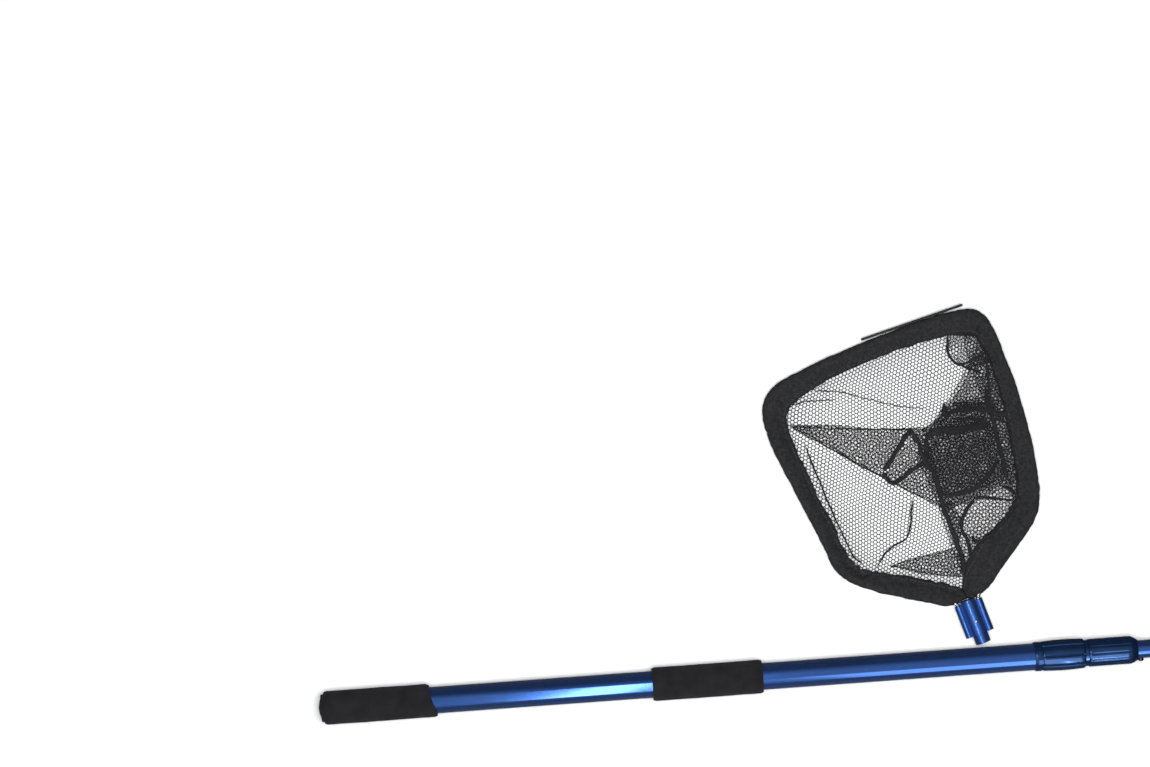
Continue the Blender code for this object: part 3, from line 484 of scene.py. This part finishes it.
def flute(form, y, z, stations, over, count, depth, share):
    """Sink grooves into a turned shape between two stations, outside a radius."""
    for vert in form.verts:
        dy, dz = vert.co.y - y, vert.co.z - z
        radius = math.hypot(dy, dz)
        if radius > over and stations[0] <= vert.co.x <= stations[1]:
            turn = math.atan2(dy, dz) / math.tau * count
            off = abs(turn - round(turn)) / share
            sink = depth * math.exp(-off ** 4)
            vert.co.y = y + dy * (radius - sink) / radius
            vert.co.z = z + dz * (radius - sink) / radius


# Placing things on the head

def head_axes():
    """Return the head's origin, its across direction and its along direction."""
    mount = next(m for m in frame["record"]["mounts"] if m["name"] == "socket_face")
    along = -Vector(mount["axis"])
    across = Vector((along.y, -along.x, 0.0))
    origin = Vector(mount["pos_m"]) + along * SOCKET_TO_TOP
    return Vector((origin.x, origin.y, 0.0)), across, along


ORIGIN, ACROSS, ALONG = head_axes()


def on_head(across, along, height):
    """Return the point of a place on the head."""
    return ORIGIN + ACROSS * across + ALONG * along + UP * height


OUTER_POLYGON = HEM_OUTER[:1] + HEM_OUTER + HEM_OUTER[-1:]
INNER_POLYGON = HEM_INNER[:1] + HEM_INNER + HEM_INNER[-1:]


def on_curve(polygon, at):
    """Return the point of a smooth curve that rounds a control polygon, counted in spans."""
    span = min(int(at), len(polygon) - 3)
    f = at - span
    weights = (0.5 * (1.0 - f) ** 2, 0.5 + f - f * f, 0.5 * f * f)
    near = polygon[span:span + 3]
    return Vector([sum(w * point[axis] for w, point in zip(weights, near)) for axis in (0, 1)])


def corner_share(at):
    """Return how near a place on the hem is to a corner, from 0 to 1."""
    return max(math.exp(-((at - corner) / 0.9) ** 2) for corner in HEM_CORNERS)


def hem_point(at, angle):
    """Return a point of the hem's skin, by its place on the mouth and its angle in the section."""
    outer, inner = on_curve(OUTER_POLYGON, at), on_curve(INNER_POLYGON, at)
    c, s = math.cos(angle), math.sin(angle)
    size = (abs(c) ** HEM_SECTION + abs(s) ** HEM_SECTION) ** (-1.0 / HEM_SECTION)
    depth = 0.5 * (1.0 - c * size)
    thin = depth * depth * (3.0 - 2.0 * depth)
    half = HEM_HALF[0] - HEM_HALF[1] * thin
    # long soft waves, and gathers across the hem that deepen in the corners
    wave = noise.noise(Vector((at * 1.3, c * 1.2, s * 1.2)))
    gather = 1.0 - 2.0 * abs(noise.noise(Vector((at * 4.6 + c * 0.5, c * 0.7, s * 0.5 + 7.0))))
    crease = 1.0 - 2.0 * abs(noise.noise(Vector((at * 0.9, depth * 4.0, 3.0))))
    swell = 0.0009 * wave - (0.0011 + 0.0016 * corner_share(at)) * max(0.0, gather) ** 3
    swell -= 0.0013 * max(0.0, crease) ** 5
    # the fabric is tight over the rod, and its folds start further in
    swell *= 0.12 + 0.88 * min(1.0, max(0.0, depth - HEM_CALM[0]) / HEM_CALM[1])
    flat = outer.lerp(inner, depth)
    edge = 0.5 if c > 0.0 else 5.5
    away = (outer - inner).normalized() * (
        c * swell + 0.0008 * noise.noise(Vector((at * 2.2, edge, 1.0)))
        + 0.0007 * noise.noise(Vector((at * 9.0, edge, 2.0))))
    height = HEM_RISE[0] - HEM_RISE[1] * thin + half * s * size + swell * s
    return on_head(flat.x + away.x, flat.y + away.y, max(FLOOR_GAP, height))


def mouth_outline(count, inset):
    """Return points round the mouth, from the inner edge of the hem (0) to its outer edge (1)."""
    points = []
    for i in range(count):
        at = HEM_LAST * i / count
        points.append(on_curve(INNER_POLYGON, at).lerp(on_curve(OUTER_POLYGON, at), inset))
    return points


# Netting

def flat_net(outline, pitch, strand, turn):
    """Return a flat net of hexagonal meshes, cut to a convex outline of (across, along) points.

    A grid of quads loses every second upright edge, as bricks do, and its rows are bent into
    hexagons. Then its edges are given thickness.
    """
    middle = sum(outline, Vector((0.0, 0.0))) / len(outline)
    reach = max((p - middle).length for p in outline) + pitch
    half = pitch / 2.0
    row = pitch * math.sqrt(3.0) / 2.0
    columns, rows = math.ceil(reach / half) * 2, math.ceil(reach / row) * 2
    form = bmesh.new()
    bmesh.ops.create_grid(form, x_segments=columns, y_segments=rows, size=0.5)
    places = {}
    for vert in form.verts:
        i, j = round((vert.co.x + 0.5) * columns), round((vert.co.y + 0.5) * rows)
        places[vert] = (i, j)
        bend = row / 6.0 if (i + j) % 2 == 0 else -row / 6.0
        vert.co = ((i - columns / 2) * half, (j - rows / 2) * row + bend, 0.0)
    uprights = []
    for edge in form.edges:
        (i, j), (k, m) = places[edge.verts[0]], places[edge.verts[1]]
        if i == k and (i + min(j, m)) % 2 == 1:
            uprights.append(edge)
    bmesh.ops.dissolve_edges(form, edges=uprights, use_verts=False)
    bmesh.ops.rotate(form, verts=form.verts, cent=(0.0, 0.0, 0.0),
                     matrix=Matrix.Rotation(turn, 3, "Z"))
    bmesh.ops.translate(form, verts=form.verts, vec=(middle.x, middle.y, 0.0))
    for first, second in zip(outline, outline[1:] + outline[:1]):
        side = second - first
        if side.length > MERGE:
            bmesh.ops.bisect_plane(form, geom=list(form.verts) + list(form.edges)
                                   + list(form.faces), dist=MERGE, plane_co=(*first, 0.0),
                                   plane_no=(side.y, -side.x, 0.0), clear_outer=True)
    bmesh.ops.wireframe(form, faces=form.faces, thickness=strand, use_replace=True,
                        use_boundary=True)
    return form


def hull(points):
    """Return the convex outline round some points, anticlockwise."""
    points = sorted(points, key=lambda p: (p.x, p.y))
    sides = []
    for row in (points, points[::-1]):
        side = []
        for p in row:
            while len(side) > 1 and (side[-1] - side[-2]).cross(p - side[-2]) <= 0.0:
                side.pop()
            side.append(p)
        sides += side[:-1]
    return sides


def clipped(corners, outline):
    """Return a convex outline cut to another convex outline."""
    shape = list(corners)
    for first, second in zip(outline, outline[1:] + outline[:1]):
        side = second - first
        if side.length < MERGE:
            continue
        kept = []
        for here, ahead in zip(shape, shape[1:] + shape[:1]):
            a = side.x * (here.y - first.y) - side.y * (here.x - first.x)
            b = side.x * (ahead.y - first.y) - side.y * (ahead.x - first.x)
            if a >= 0.0:
                kept.append(here)
            if a * b < 0.0:
                kept.append(here.lerp(ahead, a / (a - b)))
        shape = kept
    return shape


def net_height(x, y, level, layer, mouth):
    """Return the height of a layer of netting at a place on the head."""
    edge = float(np.min(np.hypot(mouth[:, 0] - x, mouth[:, 1] - y)))
    rise = 0.0050 * math.exp(-edge / 0.009)
    heap = math.exp(-((x - 0.055) / 0.045) ** 2 - ((y - 0.150) / 0.050) ** 2)
    wave = noise.noise(Vector((x * 34.0, y * 34.0, 0.0)))
    crumple = noise.noise(Vector((x * 75.0, y * 75.0, 5.0 + level * 0.15)))
    lift = layer * level * (0.75 + 0.45 * heap)
    return 0.0011 + rise + lift + 0.0006 * wave + heap * (0.0012 + 0.0011 * crumple)


def drape(form, level, layer, mouth, seed):
    """Lay a flat net down as one layer of the bag, with its meshes pulled a little out of line."""
    for vert in form.verts:
        x, y, up = vert.co
        pull = noise.noise_vector(Vector((x * 17.0, y * 17.0, seed)))
        edge = noise.noise_vector(Vector((x * 60.0, y * 60.0, seed + 9.0)))
        across = x + PULL * pull.x + RUFFLE * edge.x
        along = y + PULL * pull.y + RUFFLE * edge.y
        height = net_height(x, y, level, layer, mouth) + up * 0.6
        vert.co = on_head(across, along, max(FLOOR_GAP, height))


def joined(forms):
    """Join several bmeshes into one."""
    whole = bmesh.new()
    for form in forms:
        mesh = bpy.data.meshes.new("part")
        form.to_mesh(mesh)
        form.free()
        whole.from_mesh(mesh)
        bpy.data.meshes.remove(mesh)
    return whole


def smooth_path(points, count):
    """Return evenly spaced points on a smooth curve through a few points."""
    points = [Vector(p) / 1000.0 for p in points]
    ends = [2.0 * points[0] - points[1]] + points + [2.0 * points[-1] - points[-2]]
    path = []
    for i in range(count + 1):
        at = i / count * (len(points) - 1)
        k = min(int(at), len(points) - 2)
        f = at - k
        a, b, c, d = ends[k:k + 4]
        path.append(0.5 * (2.0 * b + (c - a) * f + (2.0 * a - 5.0 * b + 4.0 * c - d) * f * f
                           + (3.0 * b - a - 3.0 * c + d) * f ** 3))
    return path


def seam_band(points, width, level, layer, mouth, seed):
    """Return a bound seam: a soft rounded band of doubled netting along a path."""
    count = 28
    around = 8
    path = smooth_path(points, count)
    form = bmesh.new()
    bmesh.ops.create_grid(form, x_segments=count, y_segments=around, size=0.5)
    for vert in form.verts:
        i = round((vert.co.x + 0.5) * count)
        angle = math.tau * (vert.co.y + 0.5)
        here, step = path[i], path[min(i + 1, count)] - path[max(i - 1, 0)]
        side = Vector((step.y, -step.x)).normalized()
        jitter = noise.noise(Vector((here.x * 90.0, here.y * 90.0, seed)))
        ends = min(1.0, 0.25 + min(i, count - i) / 3.0)
        fine = noise.noise(Vector((here.x * 260.0, here.y * 260.0, seed + angle)))
        half = width / 2000.0 * (1.0 + 0.35 * jitter + 0.5 * fine) * ends
        flat = here + side * (half * math.cos(angle) + 0.0012 * jitter)
        top = net_height(flat.x, flat.y, level, layer, mouth)
        vert.co = on_head(flat.x, flat.y, top + 0.0008 * ends * math.sin(angle))
    bmesh.ops.remove_doubles(form, verts=form.verts, dist=MERGE)
    bmesh.ops.holes_fill(form, edges=form.edges, sides=around)
    bmesh.ops.recalc_face_normals(form, faces=form.faces)
    return form


# Pieces

def grip_outline(start, end, radius, bore, closed):
    """Return the outline of a grip with soft ends, or with one end closed by a dome."""
    count = 40
    run, deep = GRIP_ROUNDING
    outer = []
    for i in range(count + 1):
        station = start + (end - start) * i / count
        near = min(end - station, run) / run
        tail = min(station - start, run) / run
        fall = deep * (1.0 - math.sqrt(1.0 - (1.0 - near) ** 2))
        if not closed:
            fall += deep * (1.0 - math.sqrt(1.0 - (1.0 - tail) ** 2))
        outer.append((station, radius - fall))
    if not closed:
        return outer + [(end - SLIDE_IN, bore), (start + SLIDE_IN, bore)]
    long, soft, side = GRIP_DOME
    dome = [(start + long * (i / 12) ** 2, (radius - soft) * i / 12) for i in range(1, 13)]
    seat = start + run
    return [(start, 0.0), *dome, *(p for p in outer if p[0] > start + side),
            (end - SLIDE_IN, bore), (seat, bore), (seat, 0.0)]


class SKIMMER_OT_grips(bpy.types.Operator):
    """Foam grips on the outer tube"""
    bl_idname = "skimmer.grips"
    bl_label = "Foam grips"

    def execute(self, context):
        settings = context.scene.skimmer_pole
        bore = along_pole("outer_tube")[4] + GAP
        finish = eva_foam("eva_foam", settings.foam)
        for node in ("butt_grip", "middle_grip"):
            start, end, y, z, radius = along_pole(node)
            closed = node == "butt_grip"
            form = turned(grip_outline(start, end, radius, bore, closed), y, z, 72)
            for vert in form.verts:
                away = Vector((0.0, vert.co.y - y, vert.co.z - z))
                if away.length > bore + SLIDE_IN:
                    lump = noise.noise(vert.co * 38.0) + 0.5 * noise.noise(vert.co * 120.0)
                    vert.co += away.normalized() * (GRIP_LUMP[0] * lump - GRIP_LUMP[1])
                if closed:
                    # the mouth of the butt grip was cut aslant
                    share = max(0.0, (vert.co.x - start) / (end - start) - 0.5) * 2.0
                    vert.co.x -= settings.slant * share ** 2 * away.y
            piece = finished(node + "_foam", form, finish, body_of_node(node),
                             [node], 60.0)
        return {"FINISHED"}


class SKIMMER_OT_tubes(bpy.types.Operator):
    """The three anodised tubes of the pole"""
    bl_idname = "skimmer.tubes"
    bl_label = "Tubes"

    def execute(self, context):
        finish = anodised_aluminium("anodised_aluminium", context.scene.skimmer_pole.blue)
        for node in ("outer_tube", "middle_tube", "inner_tube"):
            refined(node + "_anodised", node, finish)
        return {"FINISHED"}


class SKIMMER_OT_collars(bpy.types.Operator):
    """Twist collars of the two locks, and the flange between them"""
    bl_idname = "skimmer.collars"
    bl_label = "Twist collars"

    def execute(self, context):
        settings = context.scene.skimmer_pole
        finish = moulded_abs("moulded_abs_navy_pearl", settings.navy, 0.13, 0.85)
        start, end, y, z, radius = along_pole("large_lock_collar")
        step = start + settings.collar_ring
        bore = along_pole("outer_tube")[4] + GAP
        lip = along_pole("middle_tube")[4] + LIP_GAP
        ring = radius - 0.0010
        outer = [(start, ring - 0.0007), (start + 0.0004, ring - 0.0002), (start + 0.001, ring),
                 (step - 0.0016, ring), (step - 0.0012, ring - 0.0007),
                 (step - 0.0004, ring - 0.0007), (step, radius - 0.0010),
                 (step + 0.0006, radius - 0.0007)]
        outer += [(step + 0.0020 + (end - step - 0.0040) * i / 12,
                   radius - 0.0007 + 0.0007 * math.sin(math.pi * i / 12)) for i in range(13)]
        outer += [(end - 0.0010, radius - 0.0009), (end - 0.0004, radius - 0.0013),
                  (end, radius - 0.0022)]
        inner = [(end, lip), (end - 0.004, lip), (end - 0.004, bore), (start, bore)]
        form = turned(outer + inner, y, z, 192)
        flute(form, y, z, (step - 0.0001, end - 0.0006), bore + 0.0009,
              settings.large_panels, settings.large_groove, 0.055)
        finished("large_collar_abs", form, finish, body_of_node("large_lock_collar"),
                 ["large_lock_collar"], 50.0)

        start, end, y, z, radius = along_pole("small_lock_collar")
        nose = end - 0.0067
        bore = radius - 0.0015
        lip = along_pole("inner_tube")[4] + LIP_GAP
        tip = radius - 0.0034
        outer = [(start, radius - 0.0008), (start + 0.0003, radius - 0.0003),
                 (start + 0.0009, radius)]
        outer += [(start + 0.0030 + (nose - start - 0.0036) * i / 8, radius) for i in range(9)]
        outer += [(nose, radius - 0.0002), (nose + 0.0016, radius - 0.0009),
                  (nose + 0.0036, radius - 0.0019), (end - 0.0006, tip), (end, tip - 0.0004)]
        inner = [(end, lip), (nose, lip), (nose - 0.0015, bore), (start, bore)]
        form = turned(outer + inner, y, z, 192)
        flute(form, y, z, (start + 0.0029, nose + 0.0037), bore + 0.0001,
              settings.small_panels, settings.small_groove, 0.11)
        finished("small_collar_abs", form, finish, body_of_node("small_lock_collar"),
                 ["small_lock_collar"], 50.0)
        refined("small_lock_flange", "small_lock_body", finish, 0.0002)
        return {"FINISHED"}


class SKIMMER_OT_fittings(bpy.types.Operator):
    """The spring button, the tip, and the pieces inside the tubes"""
    bl_idname = "skimmer.fittings"
    bl_label = "Fittings"

    def execute(self, context):
        steel = scratched_metal("zinc_plated_steel")
        dark = scratched_metal("blackened_steel", ("#3B3634", "#5E5854"))
        grey = moulded_abs("moulded_nylon_grey", linear("#6E7075"), 0.45)
        refined("snap_button_steel", "snap_button", dark, 0.0002, 25.0)
        spring = refined("button_spring_steel", "button_spring", steel)
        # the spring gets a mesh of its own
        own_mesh(spring)
        refined("tip_plug_nylon", "tip_plug", grey, 0.0003)
        for node in ("butt_plug", "large_lock_body", "middle_tube_bush", "inner_tube_bush"):
            refined(node + "_nylon", node, grey, 0.0002)
        return {"FINISHED"}


class SKIMMER_OT_block(bpy.types.Operator):
    """The head's block, socket tube, rivet and hoop rod"""
    bl_idname = "skimmer.block"
    bl_label = "Block and socket"

    def execute(self, context):
        blue = context.scene.skimmer_pole.blue
        steel = scratched_metal("zinc_plated_steel")
        along = math.atan2(ALONG.y, ALONG.x)
        finish = anodised_aluminium("anodised_aluminium_block", shade_of(blue, 1.2), along,
                                    (0.26, 0.36))
        bare = scratched_metal("bare_aluminium", ("#C9CED4", "#DFE2E6"))
        refined("head_block_anodised", "head_block", finish, 0.00025)
        refined("socket_tube_anodised", "socket_tube", finish, 0.0004,
                worn=bare)
        refined("socket_rivet_steel", "socket_rivet", steel, 0.0001, 25.0)
        refined("hoop_rod_steel", "hoop_rod", steel, 0.0, 60.0)
        return {"FINISHED"}


class SKIMMER_OT_hem(bpy.types.Operator):
    """The gathered fabric sleeve round the hoop, with its stitches"""
    bl_idname = "skimmer.hem"
    bl_label = "Hem"

    def execute(self, context):
        settings = context.scene.skimmer_head
        count, around = 460, 36
        form = bmesh.new()
        bmesh.ops.create_grid(form, x_segments=count, y_segments=around, size=0.5,
                              calc_uvs=True)
        layer = form.loops.layers.uv.verify()
        for face in form.faces:
            for loop in face.loops:
                u, v = loop.vert.co.x + 0.5, loop.vert.co.y + 0.5
                loop[layer].uv = (u * HEM_LENGTH, v * HEM_GIRTH)
        for vert in form.verts:
            at = 0.02 + (HEM_LAST - 0.04) * (vert.co.x + 0.5)
            vert.co = hem_point(at, math.tau * (vert.co.y + 0.5))
        bmesh.ops.remove_doubles(form, verts=form.verts, dist=MERGE)
        bmesh.ops.holes_fill(form, edges=form.edges, sides=around)
        bmesh.ops.recalc_face_normals(form, faces=form.faces)
        nodes = [n for n in frame["nodes"] if n.startswith("hem_")]
        hem = finished("hem_sleeve", form, woven_polyester("woven_polyester", settings.hem),
                       body_of_node("hem_top"), nodes, 80.0)

        form = bmesh.new()
        number = int(STITCHED_LENGTH / settings.stitch)
        size = Matrix.Diagonal((*STITCH_SIZE, 1.0))
        for i in range(number):
            at = 0.5 + (HEM_LAST - 1.0) * i / number
            here, ahead = hem_point(at, STITCH_ANGLE), hem_point(at + 0.02, STITCH_ANGLE)
            line = (ahead - here).normalized()
            turn = line.to_track_quat("X", "Z").to_matrix().to_4x4()
            bmesh.ops.create_icosphere(form, subdivisions=1, radius=1.0,
                                       matrix=Matrix.Translation(here) @ turn @ size)
        thread = sewing_thread("polyester_thread", settings.thread)
        stitches = finished("hem_stitches", form, thread, body_of_node("hem_top"),
                            (), 80.0)
        refined("edge_strip_gloss", "edge_strip",
                moulded_abs("extruded_pvc", linear("#20232A"), 0.16), 0.0, 70.0)
        return {"FINISHED"}


class SKIMMER_OT_bag(bpy.types.Operator):
    """The knitted bag, fallen into the mouth in layers, with its seams"""
    bl_idname = "skimmer.bag"
    bl_label = "Bag"

    def execute(self, context):
        settings = context.scene.skimmer_head
        noise.seed_set(NOISE_SEED)
        finish = knitted_polyester("knitted_polyester", settings.yarn)
        outline = hull(mouth_outline(44, 0.35))
        mouth = np.array([tuple(p) for p in mouth_outline(150, 0.0)])
        body = body_of_node("net_bag")
        form = flat_net(outline, settings.mesh_pitch, settings.strand, math.radians(4.0))
        drape(form, 0.0, settings.layer, mouth, 1.0)
        base = finished("bag_open_layer", form, finish, body, ["net_bag"], 80.0)
        forms = []
        for number, (corners, level, turn) in enumerate(FOLDS):
            shape = clipped([Vector(c) / 1000.0 for c in corners], outline)
            strand = settings.strand * (LOW_STRAND if level < LOW_LEVEL else HIGH_STRAND)
            form = flat_net(shape, settings.mesh_pitch, strand, math.radians(turn))
            drape(form, level, settings.layer, mouth, 2.0 + number)
            forms.append(form)
        for number, (corners, level, turn) in enumerate(BUNCHES):
            shape = clipped([Vector(c) / 1000.0 for c in corners], outline)
            form = flat_net(shape, settings.mesh_pitch * BUNCH_PITCH,
                            settings.strand * BUNCH_STRAND, math.radians(turn))
            drape(form, level, settings.layer, mouth, 30.0 + number)
            forms.append(form)
        folds = finished("bag_folded_layers", joined(forms), finish, body, (),
                         80.0)
        forms = [seam_band(points, width, level, settings.layer, mouth, 3.0 + number)
                 for number, (points, width, level) in enumerate(SEAMS)]
        seams = finished("bag_seams", joined(forms), finish, body, (), 80.0)
        return {"FINISHED"}


# Stage

# The light that dull surfaces see: its name, place, aim, size and power
SOFTBOX = ("overhead_softbox", (0.0, -0.05, 2.6), (0.0, -0.05, 0.0), (1.5, 1.1), 82.0)
# Lights that only gloss shows: their place from the middle of the outer tube, size and power
LIGHT_STRIPS = (
    ("glare_strip", (-0.084, -0.590, 1.81), (0.13, 2.70), 13.0),
    ("long_strip", (0.63, -1.32, 1.36), (0.66, 1.25), 5.6),
    ("collar_strip", (0.755, -1.55, 1.10), (0.07, 0.55), 1.3),
)
STRIP_LEAN = 0.8                     # share of its shift along the pole that a strip aims at
BRIGHTEST = (0.0, -0.22, 0.975)      # the way to the brightest part of the world
CAMERA_SHIFT = (0.3060, 0.3420, 0.015)    # from the tube's butt end and axis, and up


class SKIMMER_OT_stage(bpy.types.Operator):
    """The pale floor, soft lights and the camera above"""
    bl_idname = "skimmer.stage"
    bl_label = "Stage"

    def execute(self, context):
        settings = context.scene.skimmer_stage
        scene = context.scene
        add_floor(settings)
        add_studio_world()
        low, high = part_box("outer_tube")
        pole = (low + high) / 2.0
        add_light(*SOFTBOX, False)
        for name, shift, size, power in LIGHT_STRIPS:
            foot = pole + Vector((shift[0] * STRIP_LEAN, 0.0, 0.0))
            add_light(name, pole + Vector(shift), foot, size, power, True, False)
        lens = bpy.data.cameras.new("camera")
        lens.lens, lens.sensor_width = 100.0, 36.0
        camera = bpy.data.objects.new("camera", lens)
        camera.location = (low.x + CAMERA_SHIFT[0], (low.y + high.y) / 2.0 + CAMERA_SHIFT[1],
                           settings.view_width * lens.lens / lens.sensor_width
                           + CAMERA_SHIFT[2])
        camera.rotation_euler = (0.0, 0.0, settings.camera_turn)
        scene.collection.objects.link(camera)
        scene.camera = camera
        scene.view_settings.view_transform = "Standard"
        return {"FINISHED"}


def add_floor(settings):
    """Add the floor, which no gloss reflects."""
    form = bmesh.new()
    bmesh.ops.create_grid(form, x_segments=1, y_segments=1, size=settings.floor_side / 2.0)
    bmesh.ops.translate(form, verts=form.verts, vec=(0.0, 0.0, -FLOOR_GAP))
    mesh = bpy.data.meshes.new("floor")
    form.to_mesh(mesh)
    form.free()
    mesh.materials.append(painted_board("painted_board", settings.floor))
    floor = bpy.data.objects.new("floor", mesh)
    bpy.context.scene.collection.objects.link(floor)
    floor.visible_glossy = False


def faded(tree, value, start, end, low, high):
    """Return a socket that goes from low to high as a value goes from start to end."""
    fade = add_node(tree, "ShaderNodeMapRange",
                    {"Value": value, "From Min": start, "From Max": end, "To Min": low,
                     "To Max": high}, interpolation_type="SMOOTHSTEP")
    return fade.outputs["Result"]


def add_studio_world():
    """Add soft light from all round: brightest overhead, and dim beyond and at the right."""
    world = bpy.data.worlds.new("studio")
    bpy.context.scene.world = world
    world.use_nodes = True
    tree = world.node_tree
    place = add_node(tree, "ShaderNodeTexCoord").outputs["Generated"]
    parts = add_node(tree, "ShaderNodeSeparateXYZ", {"Vector": place})
    nearness = add_node(tree, "ShaderNodeVectorMath", {0: place, 1: BRIGHTEST},
                        operation="DOT_PRODUCT")
    overhead = faded(tree, nearness.outputs["Value"], 0.40, 1.0, 0.06, 0.56)
    front = faded(tree, parts.outputs["Y"], 0.1, -0.8, 0.0, 0.11)
    both = add_node(tree, "ShaderNodeMath", {0: overhead, 1: front}, operation="ADD")
    right = faded(tree, parts.outputs["X"], 0.15, 0.75, 1.0, 0.25)
    strength = add_node(tree, "ShaderNodeMath", {0: both.outputs["Value"], 1: right},
                        operation="MULTIPLY")
    background = tree.nodes["Background"]
    tree.links.new(strength.outputs["Value"], background.inputs["Strength"])
    background.inputs["Color"].default_value = linear("#EEF2FA")


def add_light(name, place, aim, size, power, seen, lights=True):
    """Add a rectangular light that faces a point.

    It shows in reflections only if seen, and lights dull surfaces only if lights.
    """
    data = bpy.data.lights.new(name, "AREA")
    data.shape = "RECTANGLE"
    data.size, data.size_y = size
    data.energy = power
    light = bpy.data.objects.new(name, data)
    light.location = place
    light.rotation_euler = (Vector(aim) - Vector(place)).to_track_quat("-Z", "Y").to_euler()
    light.visible_glossy = seen
    light.visible_diffuse = lights
    light.visible_camera = False
    bpy.context.scene.collection.objects.link(light)


class SKIMMER_PT_panel(bpy.types.Panel):
    """Lists the pieces in the sidebar"""
    bl_idname = "SKIMMER_PT_panel"
    bl_label = "Leaf skimmer net"
    bl_space_type = "VIEW_3D"
    bl_region_type = "UI"
    bl_category = "Skimmer"

    def draw(self, context):
        for operator in OPERATORS:
            self.layout.operator(operator.bl_idname)
        for name in ("skimmer_pole", "skimmer_head", "skimmer_stage"):
            group = getattr(context.scene, name)
            box = self.layout.box()
            for key in group.bl_rna.properties.keys():
                if key not in ("rna_type", "name"):
                    box.prop(group, key)


OPERATORS = (
    SKIMMER_OT_stage, SKIMMER_OT_grips, SKIMMER_OT_tubes, SKIMMER_OT_collars,
    SKIMMER_OT_fittings, SKIMMER_OT_block, SKIMMER_OT_hem, SKIMMER_OT_bag,
)
CLASSES = (PoleSettings, HeadSettings, StageSettings, *OPERATORS, SKIMMER_PT_panel)


def register():
    """Register the classes and hang the settings on the scene."""
    for item in CLASSES:
        bpy.utils.register_class(item)
    bpy.types.Scene.skimmer_pole = PointerProperty(type=PoleSettings)
    bpy.types.Scene.skimmer_head = PointerProperty(type=HeadSettings)
    bpy.types.Scene.skimmer_stage = PointerProperty(type=StageSettings)


def unregister():
    """Take the settings and the classes away again."""
    del bpy.types.Scene.skimmer_stage
    del bpy.types.Scene.skimmer_head
    del bpy.types.Scene.skimmer_pole
    for item in reversed(CLASSES):
        bpy.utils.unregister_class(item)


def main():
    """Make the stage and every piece."""
    register()
    bpy.ops.skimmer.stage()
    bpy.ops.skimmer.grips()
    bpy.ops.skimmer.tubes()
    bpy.ops.skimmer.collars()
    bpy.ops.skimmer.fittings()
    bpy.ops.skimmer.block()
    bpy.ops.skimmer.hem()
    bpy.ops.skimmer.bag()


if __name__ == "__main__":
    main()
